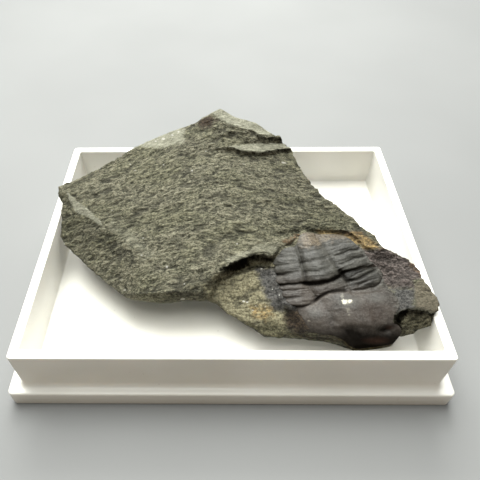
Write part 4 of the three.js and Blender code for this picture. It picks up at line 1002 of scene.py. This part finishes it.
def slab_masks(u, v, upper, solid):
    """Where each kind of stone, painted light and shade shows, from 0 to 1 at each point; most on upper faces
    alone.
    """
    ragged = 0.45 * layered_noise(solid, (1.6, 1.1, 1.1), 3, 71)
    # Pale stone, brightened by painted light on smooth facets and on the ledge over the crevice.
    rim = np.abs(signed_distance(u, v, PALE_RIM))
    pale = [0.8 * smoothstep(0.55, 0.2, rim + 0.4 * ragged)]
    pale += [share * patch(u, v, p, edge, (0.35 + edge) * ragged) for share, edge, p in PALE_AND_LIT_PATCHES]
    masks = {"pale": upper * np.max(pale, axis=0)}
    kinds = [
        ("rust", RUST_PATCHES, 0.5, 1.3), ("gold", GOLD_PATCHES, 0.5, 1.2), ("earth", [EARTH_PATCH], 0.6, 1),
        ("blue", BLUE_PATCHES, 0.6, 1.3), ("mauve", [MAUVE_PATCH], 0.6, 1),
        ("corner", [CORNER_PATCH], 0.25, 0.6), ("brown", BROWN_PATCHES, 0.8, 1.2),
    ]
    for name, polygons, edge, fray in kinds:
        masks[name] = upper * np.max([patch(u, v, p, edge, fray * ragged) for p in polygons], axis=0)
    # Broad painted shade: bevels, stair slopes and ground under ledges that face away from the lamps, and the
    # right part.
    broad_painted_shade = [share * patch(u, v, p, edge, ragged) for share, edge, p in BROAD_SHADE_PATCHES]
    broad_painted_shade.append(0.36 * patch(u, v, RIGHT_SHADE, 2, 2 * ragged))
    masks["broad_painted_shade"] = np.max(broad_painted_shade, axis=0) * (1 - masks["pale"])
    broken = signed_distance(u, v, BROKEN_EDGE) + 0.3 * ragged
    masks["broken"] = smoothstep(0, 0.3, broken) * smoothstep(25.8, 26.4, u)
    masks["dark"] = deep_shade_mask(u, v, solid, ragged, masks["broken"])
    calm = np.exp(-1.2 * np.abs(ragged))
    # White mineral flecks; the last four are painted glints on the pale facet left of the peak.
    masks["fleck_and_glint"] = calm * np.max([mound(u, v, a, b, size, size / 1.4) for a, b, size in FLECKS_AND_GLINTS], axis=0)
    return masks


# Trilobite


def oval(u, v, spot):
    """Distance from the middle of an oval, 1 on its edge: the spot gives its middle and half-widths."""
    middle_u, middle_v, half_u, half_v = spot
    return np.hypot((u - middle_u) / half_u, (v - middle_v) / half_v)


def fossil_masks(u, v, cuts, grain, speckle):
    """Where each marking, painted shade and highlight of the fossil shows, 0 to 1 by traced point, and groove
    depth.
    """
    # Painted shade on the head's steep front, growing towards it, and in its hollows.
    front = [0.95 * smoothstep(-20.2, -23.9, v + 0.3 * grain)]
    front += [share * patch(u, v, p, edge, 0.15 * grain) for share, edge, p in FRONT_SHADE]
    spots = [patch(u, v, WHITE_SPOT, 0.12, 0.22 * speckle)]
    spots += [0.2 * smoothstep(1, 0.2, oval(u, v, spot) + 0.5 * speckle) for spot in FAINT_SPOTS]
    shade = [patch(u, v, SHADED_RIBS, 0.45, 0.3 * grain), 0.75 * patch(u, v, SHADED_LEAF, 0.4, 0.3 * grain)]
    shade.append(0.26 * smoothstep(12.8, 11, u) * smoothstep(-8.4, -10.6, v))
    return {
        "cavity": cuts,
        "head": smoothstep(-11, -15.5, v + 0.15 * (u - 17)),
        "rear": patch(u, v, TAN_REAR, 0.9, 0.8 * grain),
        "front": np.max(front, axis=0),
        "side": patch(u, v, BLUE_SIDE, 0.9, 0.9 * grain),
        "red": np.max([smoothstep(1.2, 0.2, oval(u, v, spot)) for spot in RED_SPOTS], axis=0),
        "spot": np.max(spots, axis=0),
        "pale": np.max([smoothstep(1.1, 0.1, oval(u, v, spot) + 0.2 * grain) for spot in HIGHLIGHT_SPOTS], axis=0),
        "warm": smoothstep(1.2, 0.2, oval(u, v, WARM_SPOT) + 0.2 * grain),
        "shade": np.max(shade, axis=0),
        "wall": np.zeros(len(u)),
    }


def fossil_relief(flat, spots, grain):
    """Height of the fossil over the face with its fine unevenness, and the depth of its grooves."""
    sway = SWAY * layered_noise(spots, (1.6, 1.3, 1), 2, 61)
    w, cuts = trilobite_height(flat[:, 0] + sway, flat[:, 1] - sway)
    w = w + 0.05 * layered_noise(spots, (2.6, 1.8, 1), 2, 53) + 0.022 * grain
    slant = -0.28 * np.maximum(0, flat[:, 0] - 16)
    streaks = layered_noise(spots + slant[:, None] * (0, 1, 0), (2.4, 0.34, 1), 2, 65)
    in_thorax = smoothstep(-0.2, 0.5, signed_distance(flat[:, 0], flat[:, 1], HEAD_MARGIN))
    return w + STREAK_HEIGHT * in_thorax * streaks, cuts


def build_trilobite():
    """The fossil, sunk into its pocket, and attributes for its markings and its painted shade and highlight.
    """
    outline = trilobite_ring(TRILOBITE_EDGE_STEP)
    count = len(outline)
    inner = scattered(outline, outline.min(axis=0), outline.max(axis=0), RELIEF_STEP, 0.05, 8)
    faces = triangulate(outline, inner)
    flat = np.concatenate([outline, inner])
    spots = np.column_stack([flat, np.zeros(len(flat))])
    grain = layered_noise(spots, (0.9, 0.6, 1), 3, 51)
    w, cuts = fossil_relief(flat, spots, grain)
    top = np.column_stack([*place(flat[:, 0], flat[:, 1], w), w])
    rings = [top[:count] - (0, 0, TRILOBITE_DEPTH * k / TRILOBITE_WALL_RINGS)
             for k in range(1, TRILOBITE_WALL_RINGS + 1)]
    foot = rings[-1][:, :2]
    inner_foot = scattered(foot, foot.min(axis=0), foot.max(axis=0), FOOT_STEP, 0.3, 9)
    foot_w = lerp(FOOT_REAR_W, FOOT_FRONT_W, (-3 - inner_foot[:, 1]) / 21)
    solid, faces = close_solid(top, faces, rings, np.column_stack([inner_foot, foot_w]))
    piece = mesh_object("trilobite_fossil", to_world(slab_to_tray(solid)), faces)
    speckle = layered_noise(spots, (0.3, 0.24, 1), 2, 57)
    front_wall = smoothstep(-17.6, -19, flat[:count, 1])
    for name, values in fossil_masks(flat[:, 0], flat[:, 1], cuts, grain, speckle).items():
        side = front_wall if name == "wall" else values[:count]
        sides = [side] * TRILOBITE_WALL_RINGS
        add_values(piece, name, np.concatenate([values] + sides + [np.zeros(len(inner_foot))]))
    return piece


# Display tray


def rounded_ring(length, depth, radius, z):
    """Anticlockwise points of a rectangle with rounded corners."""
    ring = []
    for sx, sy, start in ((1, 1, 0), (-1, 1, 90), (-1, -1, 180), (1, -1, 270)):
        for k in range(CORNER_STEPS + 1):
            angle = np.radians(start + 90 * k / CORNER_STEPS)
            ring.append((sx * (length / 2 - radius) + radius * np.cos(angle),
                         sy * (depth / 2 - radius) + radius * np.sin(angle), z))
    return ring


def arc(centre_out, centre_z, radius, start, stop, steps=4):
    """Points of a rounded edge in the tray's section: offset outwards, height."""
    angles = np.radians(np.linspace(start, stop, steps + 1))
    return [(centre_out + radius * np.cos(a), centre_z + radius * np.sin(a)) for a in angles]


def build_tray():
    """The tray's wall section, carried round a rectangle with rounded corners."""
    bottom = -TRAY_HEIGHT
    flange_top = bottom + FLANGE_HEIGHT
    r = EDGE_ROUND
    flange = [(-SKIRT_WALL, flange_top - FLOOR_THICKNESS), (-SKIRT_WALL, bottom + 0.1)]
    flange += [(-SKIRT_WALL + 0.1, bottom), (-r, bottom)]
    flange += arc(-r, bottom + r, r, -60, 0, 3)
    flange += arc(-FLANGE_ROUND, flange_top - FLANGE_ROUND, FLANGE_ROUND, 0, 90, 6)
    rim = [(ROOT_FILLET + 0.05, flange_top)]
    rim += arc(ROOT_FILLET, flange_top + ROOT_FILLET, ROOT_FILLET, 270, 180, 8)
    rim += arc(-r, -r, r, 0, 90, 5)
    rim += arc(-WALL + r, -r, r, 90, 180, 5)
    rim += arc(-WALL - FLOOR_FILLET, flange_top + FLOOR_FILLET, FLOOR_FILLET, 0, -90, 4)
    rings = []
    for out, z in flange:
        radius = FLANGE_CORNER + max(out, -FLANGE_ROUND)
        rings.append(rounded_ring(FLANGE_LENGTH + 2 * out, FLANGE_DEPTH + 2 * out, radius, z))
    for out, z in rim:
        radius = RIM_CORNER + max(0, out) if out > -WALL / 2 else INNER_CORNER
        if out < -WALL:
            radius = INNER_CORNER + 0.8 * (out + WALL)
        rings.append(rounded_ring(RIM_LENGTH + 2 * out, RIM_DEPTH + 2 * out, radius, z))
    count = len(rings[0])
    points = np.array([p for ring in rings for p in ring])
    faces = []
    for level in range(len(rings) - 1):
        for i in range(count):
            a = level * count + i
            b = level * count + (i + 1) % count
            faces.append((a, b, b + count, a + count))
    last = (len(rings) - 1) * count
    faces.append(tuple(range(count))[::-1])
    faces.append(tuple(last + i for i in range(count)))
    piece = mesh_object("display_tray_shell", to_world(points), faces)
    for polygon in piece.data.polygons:
        polygon.use_smooth = len(polygon.vertices) == 4
    piece.data.set_sharp_from_angle(angle=np.radians(50))
    return piece


# Materials


def linear(red, green, blue):
    """Linear colour from one given as 0 to 255."""
    channels = np.array([red, green, blue]) / 255
    low = channels / 12.92
    high = ((channels + 0.055) / 1.055) ** 2.4
    return (*[float(c) for c in np.where(channels <= 0.04045, low, high)], 1.0)


class Surface:
    """A node material under construction, with coordinates in mm."""

    def __init__(self, name, along=None, stretch=(1, 1, 1)):
        self.material = bpy.data.materials.new(name)
        self.material.use_nodes = True
        self.tree = self.material.node_tree
        self.shader = self.tree.nodes["Principled BSDF"]
        self.where = self.mapped(self.value(along, "Vector"), stretch) if along else self.plain()

    def feed(self, socket, source):
        """Set a plain value on a socket, or link an output to it."""
        if isinstance(source, (int, float, tuple)):
            socket.default_value = source
        else:
            self.tree.links.new(source, socket)

    def mapped(self, source, scale):
        node = self.tree.nodes.new("ShaderNodeMapping")
        node.inputs["Scale"].default_value = scale
        self.feed(node.inputs["Vector"], source)
        return node.outputs["Vector"]

    def plain(self):
        """Coordinates in mm that follow no attribute."""
        source = self.tree.nodes.new("ShaderNodeTexCoord").outputs["Object"]
        return self.mapped(source, (1 / MM, 1 / MM, 1 / MM))

    def noise(self, scale, detail=4, roughness=0.55, distortion=0.0, where=None):
        node = self.tree.nodes.new("ShaderNodeTexNoise")
        node.inputs["Scale"].default_value = scale
        node.inputs["Detail"].default_value = detail
        node.inputs["Roughness"].default_value = roughness
        node.inputs["Distortion"].default_value = distortion
        self.tree.links.new(where or self.where, node.inputs["Vector"])
        return node.outputs["Fac"]

    def cells(self, scale):
        node = self.tree.nodes.new("ShaderNodeTexVoronoi")
        node.inputs["Scale"].default_value = scale
        self.tree.links.new(self.where, node.inputs["Vector"])
        return node.outputs["Distance"]

    def value(self, name, output="Fac"):
        node = self.tree.nodes.new("ShaderNodeAttribute")
        node.attribute_name = name
        return node.outputs[output]

    def between(self, source, low, high, to_low=0.0, to_high=1.0):
        node = self.tree.nodes.new("ShaderNodeMapRange")
        node.interpolation_type = "SMOOTHSTEP"
        node.inputs["From Min"].default_value = low
        node.inputs["From Max"].default_value = high
        node.inputs["To Min"].default_value = to_low
        node.inputs["To Max"].default_value = to_high
        self.tree.links.new(source, node.inputs["Value"])
        return node.outputs["Result"]

    def math(self, operation, a, b):
        node = self.tree.nodes.new("ShaderNodeMath")
        node.operation = operation
        self.feed(node.inputs[0], a)
        self.feed(node.inputs[1], b)
        return node.outputs[0]

    def mix(self, share, a, b, blend="MIX"):
        node = self.tree.nodes.new("ShaderNodeMix")
        node.data_type = "RGBA"
        node.blend_type = blend
        for socket, source in ((0, share), (6, a), (7, b)):
            self.feed(node.inputs[socket], source)
        return node.outputs[2]

    def bump(self, height, strength, distance, before=None):
        node = self.tree.nodes.new("ShaderNodeBump")
        node.inputs["Strength"].default_value = strength
        node.inputs["Distance"].default_value = distance * MM
        self.tree.links.new(height, node.inputs["Height"])
        if before is not None:
            self.tree.links.new(before, node.inputs["Normal"])
        return node.outputs["Normal"]

    def finish(self, color, roughness, normal=None, specular=0.5):
        self.tree.links.new(color, self.shader.inputs["Base Color"])
        self.tree.links.new(roughness, self.shader.inputs["Roughness"])
        if normal is not None:
            self.tree.links.new(normal, self.shader.inputs["Normal"])
        self.feed(self.shader.inputs["Specular IOR Level"], specular)
        return self.material


def shale_material():
    s = Surface("shale_stone", along="sweep", stretch=(0.55, 1, 1))
    broad = s.noise(0.16, 3)
    grain = s.noise(1.6, 5, 0.74, 0.5)
    fine = s.noise(4.8, 3, 0.7)
    crumb = s.noise(2.3, 5, 0.75, 0.3, s.plain())
    shade = s.math("ADD", s.math("MULTIPLY", grain, 0.5), s.math("MULTIPLY", fine, 0.5))

    def two_tone(dark, light, source=shade, low=0.4, high=0.62):
        return s.mix(s.between(source, low, high), linear(*dark), linear(*light))

    color = two_tone((51, 51, 38), (146, 142, 121))
    color = s.mix(s.between(broad, 0.42, 0.62, 0, 0.5), color, two_tone((47, 48, 34), (134, 132, 104)))
    kinds = [
        ("pale", (116, 115, 99), (160, 159, 142), shade, 0.4),
        ("earth", (90, 85, 65), (155, 149, 121), crumb, 0.38),
        ("brown", (36, 29, 22), (82, 69, 54), crumb, 0.4),
        ("mauve", (62, 56, 53), (118, 108, 103), shade, 0.4),
        ("blue", (50, 50, 48), (101, 99, 96), crumb, 0.38),
        ("corner", (84, 79, 66), (112, 105, 90), crumb, 0.4),
        ("broken", (58, 55, 41), (122, 117, 95), shade, 0.4),
    ]
    for name, dark, light, source, low in kinds:
        color = s.mix(s.value(name), color, two_tone(dark, light, source, low))
    # Broad painted shade, multiplied over the stone's colour.
    color = s.mix(s.value("broad_painted_shade"), color, two_tone((122, 122, 114), (206, 206, 198)), "MULTIPLY")
    rust = two_tone((46, 27, 19), (124, 99, 74), crumb, 0.4, 0.58)
    rust_share = s.math("MULTIPLY", s.value("rust"), s.between(crumb, 0.42, 0.56, 0.25, 0.95))
    color = s.mix(rust_share, color, rust)
    gold_share = s.math("MULTIPLY", s.value("gold"), s.between(grain, 0.4, 0.56, 0.2, 0.9))
    color = s.mix(gold_share, color, two_tone((88, 68, 36), (176, 152, 104), crumb, 0.36, 0.56))
    # Painted shade in the grain's recesses and painted highlight on its raised tops.
    color = s.mix(s.between(s.value("cavity"), -0.24, 0.0, 0.65, 0), color, linear(27, 26, 20))
    color = s.mix(s.between(s.value("cavity"), 0.1, 0.34, 0, 0.3), color, linear(133, 130, 115))
    # Painted shade, near black, in the crevice, the hollows and along the fronts of steps.
    color = s.mix(s.value("dark"), color, linear(7, 6, 4))
    # White flecks, and painted glints on the pale facet left of the peak.
    color = s.mix(s.between(s.value("fleck_and_glint"), 0.3, 0.7), color, linear(193, 191, 183))
    spots = s.cells(0.42)
    speck = s.math("MULTIPLY", s.between(spots, 0.14, 0.08), s.between(s.noise(0.42, 2), 0.56, 0.66))
    color = s.mix(speck, color, linear(163, 160, 149))
    normal = s.bump(fine, 0.95, 0.32)
    normal = s.bump(grain, 0.95, 0.7, normal)
    normal = s.bump(crumb, 0.6, 0.25, normal)
    rough = s.between(grain, 0.3, 0.7, 0.95, 0.78)
    matt = s.math("MULTIPLY", s.math("SUBTRACT", 1.0, s.value("dark")), 0.3)
    return s.finish(color, rough, normal, matt)


def fossil_material():
    s = Surface("trilobite_cast")
    broad = s.noise(0.35, 4)
    grain = s.noise(2.6, 4, 0.6)
    fine = s.noise(7.0, 3, 0.7)
    # Painted shade in the grooves, darker the deeper they are.
    groove_shade = s.between(s.value("cavity"), -0.1, -0.5, 0, 0.86)
    thorax = s.mix(s.between(broad, 0.38, 0.62), linear(43, 42, 38), linear(60, 59, 54))
    head = s.mix(s.between(broad, 0.38, 0.62), linear(50, 45, 41), linear(65, 59, 54))
    color = s.mix(s.value("head"), thorax, head)
    color = s.mix(s.math("MULTIPLY", s.value("warm"), 0.6), color, linear(46, 37, 32))
    rear = s.mix(s.between(grain, 0.35, 0.65), linear(74, 65, 53), linear(106, 95, 79))
    color = s.mix(s.math("MULTIPLY", s.value("rear"), 0.9), color, rear)
    # Painted highlight on the head's dome and on the axis.
    color = s.mix(s.math("MULTIPLY", s.value("pale"), 0.45), color, linear(84, 84, 81))
    color = s.mix(s.between(grain, 0.5, 0.66, 0, 0.25), color, linear(92, 90, 84))
    color = s.mix(s.between(grain, 0.48, 0.34, 0, 0.3), color, linear(34, 32, 29))
    color = s.mix(s.between(fine, 0.55, 0.7, 0, 0.35), color, linear(112, 110, 103))
    blue = s.mix(s.between(grain, 0.35, 0.62), linear(44, 42, 39), linear(88, 86, 82))
    color = s.mix(s.value("side"), color, blue)
    # Painted shade, near black, on the head's front and hollows, reddish-brown where the red spots lie.
    front = s.mix(s.value("red"), linear(9, 7, 5), linear(33, 22, 17))
    color = s.mix(s.value("front"), color, front)
    # Painted shade over the ribs in shade, the leaf and the left pleurae.
    color = s.mix(s.math("MULTIPLY", s.value("shade"), 0.7), color, linear(14, 12, 10))
    color = s.mix(groove_shade, color, linear(10, 8, 6))
    color = s.mix(s.value("spot"), color, linear(192, 188, 172))
    wall = s.mix(s.between(grain, 0.4, 0.6), linear(24, 22, 15), linear(62, 56, 40))
    color = s.mix(s.value("wall"), color, wall)
    normal = s.bump(fine, 0.4, 0.07)
    normal = s.bump(grain, 0.5, 0.14, normal)
    rough = s.between(grain, 0.3, 0.7, 0.55, 0.42)
    dull = s.math("MAXIMUM", s.math("MAXIMUM", groove_shade, s.value("front")), s.value("side"))
    specular = s.math("MULTIPLY", s.math("SUBTRACT", 1.0, dull), 0.24)
    return s.finish(color, rough, normal, specular)


def plastic_material():
    s = Surface("tray_white_plastic")
    cloud = s.noise(0.05, 3)
    scuff = s.noise(1.2, 5, 0.7)
    color = s.mix(s.between(cloud, 0.35, 0.65), linear(221, 219, 212), linear(229, 227, 221))
    dust = s.cells(0.35)
    color = s.mix(s.between(dust, 0.07, 0.04, 0, 0.35), color, linear(190, 186, 176))
    normal = s.bump(scuff, 0.08, 0.05)
    rough = s.between(scuff, 0.35, 0.65, 0.42, 0.3)
    s.shader.inputs["Subsurface Weight"].default_value = 0.08
    s.shader.inputs["Subsurface Radius"].default_value = (0.002, 0.0018, 0.0015)
    s.shader.inputs["Subsurface Scale"].default_value = 1.0
    return s.finish(color, rough, normal, 0.5)


def floor_material():
    s = Surface("pale_floor")
    cloud = s.noise(0.01, 3)
    color = s.mix(s.between(cloud, 0.3, 0.7), linear(120, 121, 121), linear(125, 126, 126))
    return s.finish(color, s.between(cloud, 0.3, 0.7, 0.75, 0.7), None, 0.3)


# Scene


def dress(piece, material, node):
    """Give a piece its material, hang it on the root body, and hide the CAD part it stands in for."""
    piece.data.materials.append(material)
    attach(piece, "root")
    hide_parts(node)


def build_floor():
    corners = np.array([(-1, -1, 0), (1, -1, 0), (1, 1, 0), (-1, 1, 0)])
    floor = mesh_object("floor", corners * FLOOR_HALF * MM, [(0, 1, 2, 3)], smooth=False)
    floor.location.z = cad_box[0][2] - FLOOR_GAP * MM
    floor.data.materials.append(floor_material())


def area_light(name, place_mm, aim_mm, size_mm, power, color):
    lamp = bpy.data.lights.new(name, "AREA")
    lamp.shape = "RECTANGLE"
    lamp.size = size_mm[0] * MM
    lamp.size_y = size_mm[1] * MM
    lamp.energy = power
    lamp.color = color
    lit = bpy.data.objects.new(name, lamp)
    lit.location = Vector(place_mm) * MM
    lit.rotation_euler = (Vector(aim_mm) - Vector(place_mm)).to_track_quat("-Z", "Y").to_euler()
    bpy.context.scene.collection.objects.link(lit)


def light_scene():
    world = bpy.data.worlds.new("studio")
    world.use_nodes = True
    background = world.node_tree.nodes["Background"]
    background.inputs["Color"].default_value = WORLD_COLOR
    background.inputs["Strength"].default_value = WORLD_STRENGTH
    bpy.context.scene.world = world
    for light in LIGHTS:
        area_light(*light)


def set_camera():
    camera = bpy.data.cameras.new("camera")
    camera.sensor_width = SENSOR_MM
    camera.lens = SENSOR_MM * FOCAL_PIXELS / FRAME_PIXELS
    camera.shift_x = (FRAME_PIXELS / 2 - CENTRE_PIXELS[0]) / FRAME_PIXELS
    camera.shift_y = (CENTRE_PIXELS[1] - FRAME_PIXELS / 2) / FRAME_PIXELS
    camera.clip_start = 0.001
    piece = bpy.data.objects.new("camera", camera)
    right, up, back = Vector(CAMERA_RIGHT), Vector(CAMERA_UP), -Vector(CAMERA_FORWARD)
    turn = Matrix((right, up, back)).transposed().to_4x4()
    piece.matrix_world = Matrix.Translation(Vector(to_world(CAMERA_PLACE))) @ turn
    bpy.context.scene.collection.objects.link(piece)
    bpy.context.scene.camera = piece
    bpy.context.scene.view_settings.view_transform = "Standard"


set_camera()
dress(build_tray(), plastic_material(), "display_tray")
dress(build_slab(), shale_material(), "shale_slab")
dress(build_trilobite(), fossil_material(), "trilobite")
build_floor()
light_scene()
